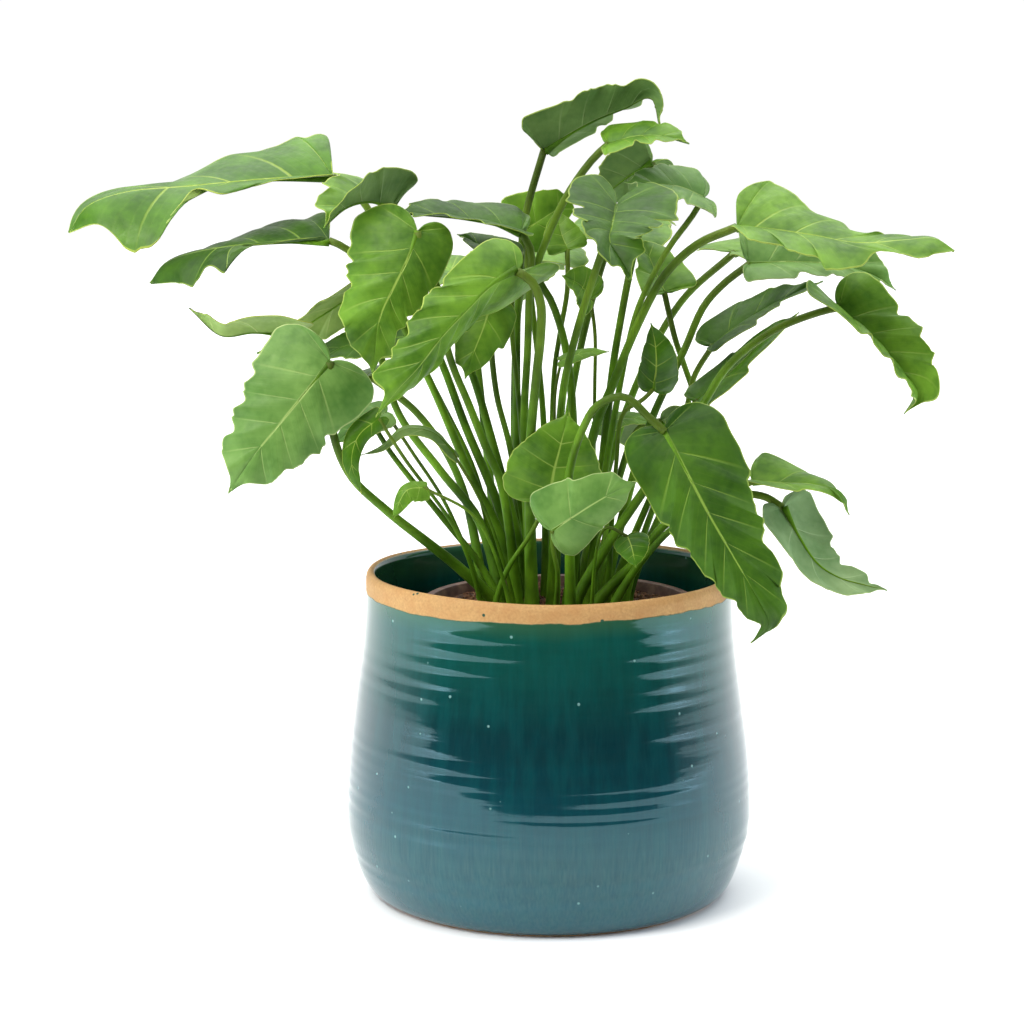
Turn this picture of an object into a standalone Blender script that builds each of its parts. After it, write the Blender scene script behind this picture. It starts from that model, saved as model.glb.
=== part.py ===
"""Philodendron xanadu in its nursery pot, standing in a glazed stoneware cover pot.

Metres, +Z up. The origin is the middle of the foot of the cover pot, and the plant faces -Y.
"""

import math
import random
from typing import NamedTuple

import bmesh
import bpy
from mathutils import Matrix, Vector

COLLECTION = "philodendron_xanadu"
CUTTERS = "philodendron_xanadu_cutters"

GAP = 0.0003  # between two pieces that touch
MERGE = 0.00005  # between points that are one point

# Cover pot: radius and height of its outer side, from the foot up
POT_SIDES = 36
POT_OUTER = (
    (0.1170, 0.0000),
    (0.1243, 0.0045),
    (0.1300, 0.0130),
    (0.1363, 0.0310),
    (0.1400, 0.0480),
    (0.1406, 0.0700),
    (0.1387, 0.1000),
    (0.1340, 0.1340),
    (0.1294, 0.1680),
    (0.1272, 0.2000),
    (0.1270, 0.2210),
)
POT_HEIGHT = 0.2270
POT_WALL = 0.0072
POT_FLOOR = 0.0125
POT_INNER = (
    (0.1150, POT_FLOOR),
    (0.1320, 0.0420),
    (0.1330, 0.0760),
    (0.1268, 0.1340),
    (0.1208, 0.1800),
    (0.1198, 0.2210),
)

# Nursery pot, a little off the middle of the cover pot
LINER_SIDES = 28
LINER_AT = (0.0070, 0.0000)
LINER_FOOT = POT_FLOOR + GAP
LINER_HEIGHT = 0.1930
LINER_RIM_RADIUS = 0.0950
LINER_RIM_HEIGHT = 0.0130
LINER_TOP_RADIUS = 0.0905
LINER_BASE_RADIUS = 0.0680
LINER_WALL = 0.0016
LINER_EDGE = 0.0010  # how far the rim's edges are broken
DRAIN_HOLES = 6
DRAIN_RADIUS = 0.0050
DRAIN_CIRCLE = 0.0480

# Potting soil
SOIL_SIDES = 28
SOIL_TOP = 0.2005
SOIL_CROWN = 0.0045  # how far the middle stands above the edge
SOIL_CROWN_RING = 0.7  # share of the radius, and of the crown, at the ring between them
STEM_SINK = 0.0140  # how deep a petiole stands in the soil
STEM_SIDES = 6
THIN_STEM_SIDES = 4
THIN_GIRTH = 0.75  # girth under which a petiole is a thin one

# Finishes: colour and roughness
GLAZE = ((0.004, 0.075, 0.085), 0.12)
PLASTIC = ((0.16, 0.09, 0.075), 0.50)
PEAT = ((0.05, 0.028, 0.018), 0.95)
FOLIAGE = ((0.10, 0.26, 0.04), 0.35)

# The eye that the front elevation is drawn for
EYE_ACROSS = -0.0257
EYE_BACK = 2.0500
EYE_UP = 0.6100

# Blades and petioles
BLADE_THICK = 0.0008
WIDEST = 0.15  # share of the blade's length where it is widest
FORMS = 28  # stations at which a blade's spine is worked out
FOOT_RADIUS = 0.0042
NECK_RADIUS = 0.0027
RIB_RADIUS = 0.0011
RIB_REACH = 0.0080  # how far the petiole runs on along the midrib
NODE_REACH = 0.0012  # how far it runs through the blade where the blade folds back
SHARPEST_BEND = math.radians(105)
PETIOLE_STATIONS = 4  # and one more for each point that the petiole passes
COLLAR = 0.0010  # height over the soil's edge where the petiole's foot ends
COLLAR_TOP = 0.0040  # height over it where the petiole is free to lean
SLIM_BY = 0.625  # share of the petiole's length at which it is down to its neck
SLIM_POWER = 0.8
SHARP_FOLD = math.radians(50)

# Margin of a blade with lobes, as shares of its length
LAST_CREST = 0.84  # crest of the lobe nearest the tip
LOBED = 0.62  # stretch that the lobes share
VEIN_LEAD = 0.12  # how far below a crest its vein leaves the midrib
NOTCH_REACH = 0.045  # how far past a crest its notch is
BELLY = 0.55  # place between two crests where the margin is fullest
TAPER_FROM = 0.10
TAPER_RUN = 0.75
TAPER_POWER = 1.5

LEFT = 0
RIGHT = 1


class Leaf(NamedTuple):
    """One leaf. Its points are across, up and depth, as place() reads them."""

    name: str
    foot: tuple  # where the petiole leaves the soil, across and deep in plan
    stalk: tuple  # points that the petiole passes; a missing depth is worked out
    rib: tuple  # midrib from the joint to the tip
    left: tuple  # widest point of the left side, seen from above with the tip ahead
    right: tuple
    lobes: int = 4
    cut: float = 0.12  # depth of the notches, as a share of the half width
    taper: float = 0.62  # how much narrower the blade is where its last lobe ends
    ear: tuple = (0.08, 0.08)  # length of each basal lobe, as a share of the blade's
    droop: float = 30.0  # degrees by which each side turns down towards its margin
    fall: float = 0.0  # degrees by which both sides sink further from base to tip
    wave: float = 0.08  # height of the margin's waves, as a share of the half width
    girth: float = 1.0  # thickness of the petiole beside the usual one
    drawn: tuple = ((), ())  # margin of each side, along and across as shares


LEAVES = (
    Leaf(
        "leaf_left_top",
        (-0.022, 0.022),
        ((-0.033, 0.265), (-0.058, 0.328), (-0.073, 0.369), (-0.104, 0.440), (-0.132, 0.487)),
        ((-0.147, 0.497, 0.042), (-0.190, 0.495, 0.036), (-0.240, 0.491, 0.026),
         (-0.290, 0.486, 0.016), (-0.315, 0.476, 0.010), (-0.326, 0.459, 0.006)),
        (-0.178, 0.493, -0.004),
        (-0.172, 0.527, 0.084),
        lobes=4,
        fall=60.0,
        taper=0.5,
        ear=(0.04, 0.02),
        drawn=(
            (
                (0.02, 0.25), (0.15, 0.30), (0.30, 0.35), (0.42, 0.60), (0.50, 0.35), (0.60, 0.80),
                (0.68, 1.25), (0.78, 1.20), (0.88, 0.70),
            ),
            (
                (0.02, 1.00), (0.08, 0.93), (0.12, 1.05), (0.20, 0.94), (0.35, 0.97), (0.50, 0.78),
                (0.62, 0.55), (0.68, 0.38), (0.80, 0.36), (0.90, 0.30),
            ),
        ),
    ),
    Leaf(
        "leaf_left_upper",
        (-0.024, 0.008),
        ((-0.031, 0.245), (-0.055, 0.295), (-0.082, 0.358), (-0.118, 0.428), (-0.139, 0.449)),
        ((-0.150, 0.454, 0.010), (-0.195, 0.452, 0.004), (-0.240, 0.446, -0.002),
         (-0.262, 0.438, -0.006), (-0.272, 0.425, -0.008)),
        (-0.172, 0.450, -0.034),
        (-0.168, 0.473, 0.048),
        fall=50.0,
        taper=0.7,
        ear=(0.05, 0.03),
        drawn=(
            (
                (0.10, 0.10), (0.30, 0.12), (0.50, 0.20), (0.58, 0.75), (0.66, 0.60), (0.78, 0.80),
                (0.90, 0.55),
            ),
            (
                (0.00, 0.85), (0.10, 1.00), (0.25, 1.12), (0.40, 1.08), (0.60, 1.05), (0.75, 0.95),
                (0.88, 0.65),
            ),
        ),
    ),
    Leaf(
        "leaf_left_small",
        (-0.034, -0.014),
        ((-0.047, 0.229), (-0.075, 0.265), (-0.108, 0.307, -0.012), (-0.125, 0.334, -0.014),
         (-0.155, 0.372, -0.006)),
        ((-0.182, 0.390, 0.010), (-0.203, 0.391, 0.008), (-0.224, 0.389, 0.006),
         (-0.246, 0.408, 0.002)),
        (-0.192, 0.402, -0.012),
        (-0.196, 0.392, 0.034),
        lobes=2,
        girth=0.7,
        ear=(0.3, 0.05),
    ),
    Leaf(
        "leaf_left_bright",
        (-0.034, 0.002),
        ((-0.048, 0.260), (-0.075, 0.296), (-0.104, 0.337, 0.050), (-0.116, 0.385, 0.066)),
        ((-0.112, 0.430, 0.070), (-0.140, 0.413, 0.076), (-0.168, 0.395, 0.082),
         (-0.200, 0.377, 0.086)),
        (-0.136, 0.424, 0.046),
        (-0.124, 0.396, 0.102),
        lobes=3,
        ear=(0.1, 0.1),
    ),
    Leaf(
        "leaf_left_shaded",
        (-0.034, 0.018),
        ((-0.050, 0.290), (-0.075, 0.345)),
        ((-0.098, 0.388, 0.034), (-0.120, 0.386, 0.036), (-0.145, 0.380, 0.038),
         (-0.166, 0.371, 0.038)),
        (-0.112, 0.372, 0.012),
        (-0.110, 0.399, 0.056),
        lobes=3,
        girth=0.8,
        ear=(0.1, 0.1),
    ),
    Leaf(
        "leaf_left_lower",
        (-0.034, -0.028),
        ((-0.061, 0.227), (-0.083, 0.245), (-0.113, 0.269), (-0.137, 0.293), (-0.149, 0.325)),
        ((-0.150, 0.371, -0.084), (-0.168, 0.349, -0.092), (-0.186, 0.327, -0.097),
         (-0.204, 0.305, -0.098), (-0.221, 0.280, -0.094)),
        (-0.126, 0.338, -0.078),
        (-0.196, 0.382, -0.074),
        lobes=4,
        girth=1.1,
        ear=(0.08, 0.08),
        taper=0.55,
    ),
    Leaf(
        "leaf_left_centre",
        (-0.022, -0.008),
        ((-0.033, 0.287), (-0.043, 0.311), (-0.056, 0.344), (-0.067, 0.371), (-0.081, 0.425)),
        ((-0.090, 0.460, -0.044), (-0.096, 0.442, -0.052), (-0.105, 0.424, -0.058),
         (-0.116, 0.400, -0.060), (-0.121, 0.362, -0.056)),
        (-0.066, 0.446, -0.038),
        (-0.140, 0.446, -0.038),
        ear=(0.1, 0.14),
    ),
    Leaf(
        "leaf_left_folded",
        (-0.012, -0.002),
        ((-0.041, 0.323), (-0.053, 0.363, 0.004), (-0.085, 0.440, 0.004)),
        ((-0.108, 0.476, 0.000), (-0.122, 0.480, -0.017), (-0.138, 0.476, -0.039),
         (-0.153, 0.463, -0.061)),
        (-0.098, 0.502, -0.015),
        (-0.146, 0.502, 0.001),
        lobes=3,
        ear=(0.1, 0.1),
    ),
    Leaf(
        "leaf_middle_dark",
        (-0.012, -0.018),
        ((-0.017, 0.306), (-0.017, 0.342), (-0.015, 0.378), (-0.014, 0.414), (-0.013, 0.448)),
        ((-0.020, 0.460, -0.020), (-0.037, 0.465, -0.022), (-0.060, 0.469, -0.026),
         (-0.084, 0.471, -0.030), (-0.105, 0.472, -0.034)),
        (-0.036, 0.463, -0.042),
        (-0.034, 0.478, 0.022),
        lobes=3,
    ),
    Leaf(
        "leaf_middle_front",
        (-0.012, -0.034),
        ((-0.013, 0.312), (-0.009, 0.360), (-0.006, 0.390), (-0.006, 0.411), (-0.012, 0.426)),
        ((-0.022, 0.433, -0.076), (-0.040, 0.423, -0.088), (-0.056, 0.407, -0.098),
         (-0.074, 0.388, -0.105), (-0.090, 0.367, -0.109), (-0.104, 0.352, -0.110),
         (-0.119, 0.333, -0.106)),
        (-0.032, 0.412, -0.046),
        (-0.057, 0.446, -0.076),
        lobes=5,
        girth=1.2,
        ear=(0.26, 0.08),
        taper=0.4,
    ),
    Leaf(
        "leaf_middle_inner",
        (-0.010, 0.012),
        ((-0.027, 0.312), (-0.036, 0.348), (-0.040, 0.385)),
        ((-0.040, 0.412, -0.014), (-0.045, 0.395, -0.024), (-0.052, 0.377, -0.030),
         (-0.058, 0.359, -0.032)),
        (-0.024, 0.398, -0.008),
        (-0.066, 0.402, -0.014),
        lobes=2,
        girth=0.8,
        ear=(0.1, 0.1),
    ),
    Leaf(
        "leaf_top",
        (-0.020, 0.036),
        ((-0.022, 0.300), (-0.022, 0.400), (-0.019, 0.450), (-0.018, 0.463), (-0.014, 0.481)),
        ((-0.004, 0.515, 0.043), (0.010, 0.524, 0.041), (0.030, 0.535, 0.038),
         (0.050, 0.543, 0.035), (0.068, 0.550, 0.032), (0.074, 0.530, 0.028)),
        (0.022, 0.522, 0.080),
        (0.004, 0.549, 0.016),
        ear=(0.02, 0.02),
    ),
    Leaf(
        "leaf_top_small",
        (0.016, 0.020),
        ((0.016, 0.336), (0.011, 0.381), (0.002, 0.411), (-0.009, 0.432), (-0.004, 0.450),
         (0.012, 0.485), (0.030, 0.510)),
        ((0.040, 0.519, 0.004), (0.058, 0.524, 0.002), (0.076, 0.524, -0.002),
         (0.094, 0.519, -0.006)),
        (0.048, 0.533, 0.028),
        (0.050, 0.514, -0.022),
        lobes=3,
    ),
    Leaf(
        "leaf_top_under",
        (0.030, 0.024),
        ((0.043, 0.364), (0.048, 0.397), (0.056, 0.440), (0.068, 0.490)),
        ((0.069, 0.507, 0.036), (0.053, 0.497, 0.038), (0.040, 0.487, 0.040),
         (0.030, 0.478, 0.042)),
        (0.044, 0.520, 0.026),
        (0.074, 0.484, 0.064),
        lobes=3,
        ear=(0.08, 0.2),
    ),
    Leaf(
        "leaf_centre",
        (0.002, -0.022),
        ((0.009, 0.348), (0.015, 0.378), (0.025, 0.414), (0.040, 0.460)),
        ((0.045, 0.477, -0.060), (0.042, 0.463, -0.090), (0.041, 0.452, -0.112),
         (0.056, 0.427, -0.128)),
        (0.088, 0.480, -0.070),
        (0.012, 0.488, -0.070),
        lobes=4,
        cut=0.26,
        ear=(0.28, 0.28),
    ),
    Leaf(
        "leaf_twisted",
        (0.026, -0.008),
        ((0.044, 0.330), (0.057, 0.397), (0.064, 0.417), (0.081, 0.449), (0.097, 0.471)),
        ((0.104, 0.483, 0.014), (0.088, 0.490, 0.006), (0.070, 0.492, 0.000),
         (0.050, 0.493, -0.004)),
        (0.098, 0.476, -0.016),
        (0.096, 0.502, 0.034),
        lobes=3,
        girth=0.8,
    ),
    Leaf(
        "leaf_right_upper",
        (0.014, -0.006),
        ((0.030, 0.320), (0.044, 0.357), (0.059, 0.394), (0.078, 0.430), (0.100, 0.451)),
        ((0.127, 0.463, -0.031), (0.150, 0.461, -0.036), (0.180, 0.457, -0.042),
         (0.210, 0.452, -0.048), (0.240, 0.454, -0.054), (0.262, 0.455, -0.058),
         (0.275, 0.447, -0.060)),
        (0.146, 0.496, 0.006),
        (0.152, 0.458, -0.072),
        lobes=5,
        girth=1.1,
        fall=60.0,
        ear=(0.05, 0.05),
        drawn=(
            (
                (-0.02, 0.55), (0.06, 0.90), (0.12, 1.05), (0.20, 0.92), (0.32, 0.72),
                (0.42, 0.78), (0.52, 0.60), (0.62, 0.42), (0.68, 0.50), (0.78, 0.75), (0.86, 0.80),
                (0.94, 0.50),
            ),
            (
                (0.00, 0.55), (0.10, 0.90), (0.22, 0.80), (0.27, 0.98), (0.40, 0.80), (0.46, 1.00),
                (0.58, 0.62), (0.64, 0.30), (0.74, 0.45), (0.86, 0.55), (0.94, 0.35),
            ),
        ),
    ),
    Leaf(
        "leaf_right_middle",
        (0.038, -0.004),
        ((0.060, 0.300), (0.072, 0.336), (0.092, 0.379), (0.105, 0.409), (0.118, 0.424)),
        ((0.136, 0.438, 0.030), (0.165, 0.439, 0.030), (0.198, 0.437, 0.028),
         (0.220, 0.430, 0.026), (0.236, 0.420, 0.026)),
        (0.158, 0.473, 0.064),
        (0.152, 0.426, 0.008),
        ear=(0.05, 0.05),
        taper=0.75,
        cut=0.2,
    ),
    Leaf(
        "leaf_right_inner",
        (0.056, 0.022),
        ((0.096, 0.315, 0.052), (0.100, 0.342, 0.060), (0.092, 0.369, 0.062),
         (0.086, 0.386, 0.060)),
        ((0.078, 0.419, 0.050), (0.072, 0.432, 0.062), (0.066, 0.445, 0.072),
         (0.058, 0.454, 0.080)),
        (0.058, 0.428, 0.052),
        (0.098, 0.430, 0.060),
        lobes=2,
        girth=0.8,
    ),
    Leaf(
        "leaf_right_drooping",
        (0.016, -0.032),
        ((0.043, 0.248, -0.034), (0.062, 0.277, -0.034), (0.103, 0.338, -0.028),
         (0.122, 0.368, -0.020), (0.152, 0.392, -0.010), (0.184, 0.405, -0.002)),
        ((0.197, 0.408, 0.000), (0.214, 0.394, -0.008), (0.229, 0.379, -0.014),
         (0.241, 0.364, -0.018), (0.250, 0.349, -0.020), (0.243, 0.335, -0.020)),
        (0.228, 0.423, 0.004),
        (0.202, 0.397, -0.040),
        lobes=4,
        ear=(0.12, 0.26),
        taper=0.45,
    ),
    Leaf(
        "leaf_right_grey",
        (0.046, 0.034),
        ((0.093, 0.335), (0.099, 0.361)),
        ((0.112, 0.383, 0.055), (0.130, 0.397, 0.058), (0.152, 0.410, 0.060),
         (0.186, 0.426, 0.064)),
        (0.108, 0.398, 0.078),
        (0.122, 0.384, 0.032),
        lobes=3,
        girth=0.8,
    ),
    Leaf(
        "leaf_right_rising",
        (0.052, -0.006),
        ((0.070, 0.265), (0.088, 0.310)),
        ((0.102, 0.345, 0.022), (0.122, 0.362, 0.026), (0.145, 0.384, 0.030),
         (0.170, 0.405, 0.034)),
        (0.106, 0.362, 0.040),
        (0.122, 0.350, 0.006),
        lobes=2,
        girth=0.8,
        ear=(0.05, 0.05),
    ),
    Leaf(
        "leaf_cupped",
        (0.040, -0.020),
        ((0.046, 0.300), (0.051, 0.336), (0.064, 0.345)),
        ((0.071, 0.352, -0.015), (0.073, 0.368, -0.020), (0.072, 0.384, -0.020),
         (0.069, 0.398, -0.014)),
        (0.060, 0.360, -0.004),
        (0.088, 0.362, -0.008),
        lobes=0,
        girth=0.6,
    ),
    Leaf(
        "leaf_front_hanging",
        (0.014, -0.046),
        ((0.014, 0.260, -0.062), (0.014, 0.295, -0.076), (0.023, 0.325, -0.086),
         (0.033, 0.341, -0.092), (0.051, 0.347, -0.095), (0.069, 0.332, -0.095)),
        ((0.079, 0.323, -0.095), (0.090, 0.303, -0.104), (0.109, 0.267, -0.116),
         (0.127, 0.236, -0.124), (0.145, 0.205, -0.130), (0.152, 0.188, -0.128),
         (0.140, 0.175, -0.122)),
        (0.127, 0.318, -0.086),
        (0.058, 0.292, -0.092),
        lobes=5,
        girth=1.0,
        ear=(0.07, 0.07),
        taper=0.66,
    ),
    Leaf(
        "leaf_right_strap",
        (0.042, -0.040),
        ((0.070, 0.240), (0.110, 0.275)),
        ((0.140, 0.288, -0.050), (0.160, 0.287, -0.056), (0.182, 0.286, -0.062),
         (0.197, 0.281, -0.066), (0.207, 0.265, -0.066)),
        (0.151, 0.308, -0.026),
        (0.155, 0.286, -0.074),
        lobes=2,
        girth=0.8,
        fall=40.0,
        taper=0.9,
        ear=(0.05, 0.05),
    ),
    Leaf(
        "leaf_right_lower",
        (0.030, -0.030),
        ((0.045, 0.217), (0.059, 0.231), (0.081, 0.259), (0.120, 0.278), (0.147, 0.278)),
        ((0.161, 0.270, -0.045), (0.172, 0.250, -0.050), (0.185, 0.231, -0.054),
         (0.200, 0.221, -0.057), (0.217, 0.216, -0.058), (0.234, 0.212, -0.058)),
        (0.156, 0.249, -0.070),
        (0.187, 0.268, -0.028),
        lobes=3,
    ),
    Leaf(
        "leaf_front_upright",
        (-0.038, -0.044),
        ((-0.030, 0.224), (-0.012, 0.253)),
        ((0.000, 0.277, -0.056), (0.003, 0.295, -0.060), (0.008, 0.315, -0.062),
         (0.013, 0.337, -0.060)),
        (-0.031, 0.298, -0.054),
        (0.040, 0.301, -0.054),
        lobes=0,
        girth=0.6,
    ),
    Leaf(
        "leaf_front_low",
        (0.004, -0.058),
        ((0.006, 0.224), (0.003, 0.240)),
        ((0.002, 0.254, -0.105), (0.017, 0.264, -0.108), (0.031, 0.273, -0.110),
         (0.045, 0.281, -0.110), (0.060, 0.288, -0.106)),
        (0.006, 0.292, -0.100),
        (0.024, 0.241, -0.098),
        lobes=2,
        cut=0.06,
        girth=0.6,
    ),
    Leaf(
        "leaf_front_tiny",
        (0.028, -0.050),
        ((0.039, 0.256, -0.080),),
        ((0.054, 0.250, -0.085), (0.057, 0.242, -0.092), (0.060, 0.228, -0.096)),
        (0.069, 0.248, -0.084),
        (0.046, 0.240, -0.086),
        lobes=0,
        girth=0.4,
    ),
    Leaf(
        "leaf_strap_left",
        (-0.046, -0.036),
        ((-0.062, 0.250, -0.056), (-0.100, 0.305, -0.070)),
        ((-0.117, 0.332, -0.076), (-0.131, 0.320, -0.080), (-0.136, 0.302, -0.082),
         (-0.129, 0.279, -0.078)),
        (-0.118, 0.322, -0.076),
        (-0.134, 0.330, -0.076),
        lobes=0,
        girth=0.5,
    ),
    Leaf(
        "leaf_strap_thin",
        (-0.024, -0.022),
        ((-0.044, 0.268),),
        ((-0.066, 0.308, -0.050), (-0.080, 0.322, -0.054), (-0.100, 0.324, -0.058),
         (-0.115, 0.312, -0.060), (-0.131, 0.306, -0.060)),
        (-0.073, 0.319, -0.046),
        (-0.076, 0.313, -0.058),
        lobes=0,
        girth=0.4,
    ),
    Leaf(
        "leaf_left_low_grey",
        (-0.046, -0.010),
        ((-0.070, 0.270), (-0.095, 0.310)),
        ((-0.112, 0.336, -0.040), (-0.128, 0.329, -0.044), (-0.148, 0.314, -0.048)),
        (-0.116, 0.322, -0.054),
        (-0.124, 0.342, -0.028),
        lobes=0,
        girth=0.5,
    ),
    Leaf(
        "leaf_draped",
        (-0.026, -0.054),
        ((-0.050, 0.262),),
        ((-0.086, 0.284, -0.078), (-0.098, 0.282, -0.082), (-0.108, 0.262, -0.084)),
        (-0.086, 0.274, -0.080),
        (-0.098, 0.288, -0.076),
        lobes=0,
        girth=0.4,
    ),
    Leaf(
        "leaf_inner_sliver",
        (0.002, 0.000),
        ((0.004, 0.300), (0.004, 0.350)),
        ((0.008, 0.372, -0.010), (0.024, 0.377, -0.012), (0.041, 0.378, -0.012)),
        (0.012, 0.377, -0.004),
        (0.014, 0.369, -0.016),
        lobes=0,
        girth=0.4,
    ),
    Leaf(
        "leaf_inner_top",
        (-0.002, 0.030),
        ((-0.004, 0.330), (-0.012, 0.410)),
        ((-0.018, 0.460, 0.060), (-0.006, 0.468, 0.064), (0.006, 0.476, 0.068),
         (0.016, 0.486, 0.072)),
        (-0.024, 0.488, 0.066),
        (0.010, 0.458, 0.066),
        lobes=2,
        girth=0.8,
    ),
    Leaf(
        "leaf_inner_green",
        (0.002, 0.014),
        ((0.003, 0.360), (0.007, 0.390), (0.012, 0.420)),
        ((0.012, 0.448, 0.040), (0.008, 0.458, 0.046), (0.004, 0.474, 0.054)),
        (-0.008, 0.460, 0.044),
        (0.022, 0.462, 0.048),
        lobes=0,
        girth=0.7,
    ),
    Leaf(
        "leaf_inner_curled",
        (0.030, 0.008),
        ((0.031, 0.354), (0.031, 0.390)),
        ((0.028, 0.414, 0.014), (0.020, 0.424, 0.010), (0.008, 0.430, 0.004)),
        (0.018, 0.410, -0.004),
        (0.034, 0.430, 0.022),
        lobes=0,
        girth=0.5,
    ),
    Leaf(
        "leaf_inner_grey",
        (-0.010, 0.026),
        ((-0.021, 0.345), (-0.026, 0.400)),
        ((-0.024, 0.440, 0.014), (-0.038, 0.447, 0.014), (-0.050, 0.452, 0.016),
         (-0.063, 0.458, 0.018)),
        (-0.036, 0.436, -0.004),
        (-0.030, 0.456, 0.030),
        lobes=2,
        girth=0.7,
    ),
    Leaf(
        "leaf_inner_low",
        (0.020, 0.036),
        ((0.024, 0.290),),
        ((0.034, 0.326, 0.044), (0.052, 0.332, 0.046), (0.072, 0.328, 0.046)),
        (0.038, 0.334, 0.058),
        (0.042, 0.322, 0.036),
        lobes=0,
        girth=0.5,
    ),
    Leaf(
        "leaf_back_left",
        (-0.034, 0.034),
        ((-0.045, 0.330), (-0.052, 0.390)),
        ((-0.060, 0.430, 0.110), (-0.080, 0.438, 0.140), (-0.100, 0.430, 0.168),
         (-0.118, 0.410, 0.190)),
        (-0.106, 0.434, 0.112),
        (-0.054, 0.442, 0.142),
        ear=(0.15, 0.15),
    ),
    Leaf(
        "leaf_back_middle",
        (-0.020, 0.052),
        ((-0.024, 0.330), (-0.022, 0.400)),
        ((-0.016, 0.442, 0.116), (-0.016, 0.450, 0.150), (-0.016, 0.440, 0.190),
         (-0.018, 0.414, 0.222)),
        (-0.054, 0.444, 0.138),
        (0.026, 0.444, 0.140),
        ear=(0.15, 0.15),
    ),
    Leaf(
        "leaf_back_upper",
        (0.004, 0.048),
        ((0.014, 0.340), (0.028, 0.410)),
        ((0.042, 0.458, 0.100), (0.050, 0.470, 0.130), (0.058, 0.466, 0.166),
         (0.064, 0.446, 0.196)),
        (0.018, 0.468, 0.128),
        (0.088, 0.464, 0.118),
        ear=(0.15, 0.15),
    ),
    Leaf(
        "leaf_back_low_right",
        (0.036, 0.044),
        ((0.048, 0.290), (0.062, 0.325)),
        ((0.076, 0.330, 0.096), (0.092, 0.312, 0.124), (0.106, 0.286, 0.142),
         (0.118, 0.256, 0.150)),
        (0.056, 0.306, 0.132),
        (0.120, 0.320, 0.090),
        ear=(0.15, 0.15),
    ),
    Leaf(
        "leaf_back_low_left",
        (-0.046, 0.024),
        ((-0.062, 0.290), (-0.090, 0.335)),
        ((-0.124, 0.362, 0.092), (-0.146, 0.356, 0.116), (-0.168, 0.338, 0.134),
         (-0.186, 0.312, 0.142)),
        (-0.148, 0.346, 0.070),
        (-0.124, 0.366, 0.142),
        ear=(0.15, 0.15),
    ),
    Leaf(
        "leaf_back_right",
        (0.024, 0.056),
        ((0.050, 0.330), (0.088, 0.410)),
        ((0.126, 0.446, 0.112), (0.150, 0.452, 0.132), (0.176, 0.450, 0.150),
         (0.204, 0.438, 0.162)),
        (0.128, 0.456, 0.162),
        (0.160, 0.446, 0.096),
        ear=(0.15, 0.15),
    ),
)


def place(point):
    """Space point of a reading across, up and depth.

    Across and up are where the point shows on the front elevation, the upright plane
    through the pot's axis; depth slides it along the line to the eye, away from it.
    """
    across, up, depth = point
    share = (EYE_BACK + depth) / EYE_BACK
    return Vector((EYE_ACROSS + (across - EYE_ACROSS) * share, depth, EYE_UP - (EYE_UP - up) * share))


def smooth(points, steps):
    """Smooth line through the points, with so many steps from each to the next."""
    ends = [2 * points[0] - points[1], *points, 2 * points[-1] - points[-2]]
    line = [points[0].copy()]
    for before, start, end, after in zip(ends, ends[1:], ends[2:], ends[3:]):
        lengths = [max(math.sqrt((b - a).length), 1e-6) for a, b in
                   ((before, start), (start, end), (end, after))]
        first, middle, last = lengths
        leave = ((start - before) / first - (end - before) / (first + middle)
                 + (end - start) / middle) * middle
        reach = ((end - start) / middle - (after - start) / (middle + last)
                 + (after - end) / last) * middle
        for step in range(1, steps + 1):
            t = step / steps
            line.append(
                start * (2 * t**3 - 3 * t**2 + 1) + leave * (t**3 - 2 * t**2 + t)
                + end * (3 * t**2 - 2 * t**3) + reach * (t**3 - t**2)
            )
    return line


def walk(line, count):
    """The line again, as so many points evenly spaced along it."""
    run = [0.0]
    for a, b in zip(line, line[1:]):
        run.append(run[-1] + (b - a).length)
    points = []
    i = 0
    for k in range(count):
        goal = run[-1] * k / (count - 1)
        while i < len(run) - 2 and run[i + 1] < goal:
            i += 1
        points.append(line[i].lerp(line[i + 1], (goal - run[i]) / (run[i + 1] - run[i])))
    return points


def carried(direction, tangents):
    """The direction carried along the tangents without roll, square to each of them."""
    found = []
    for tangent in tangents:
        direction = (direction - tangent * direction.dot(tangent)).normalized()
        found.append(direction.copy())
    return found


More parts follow.
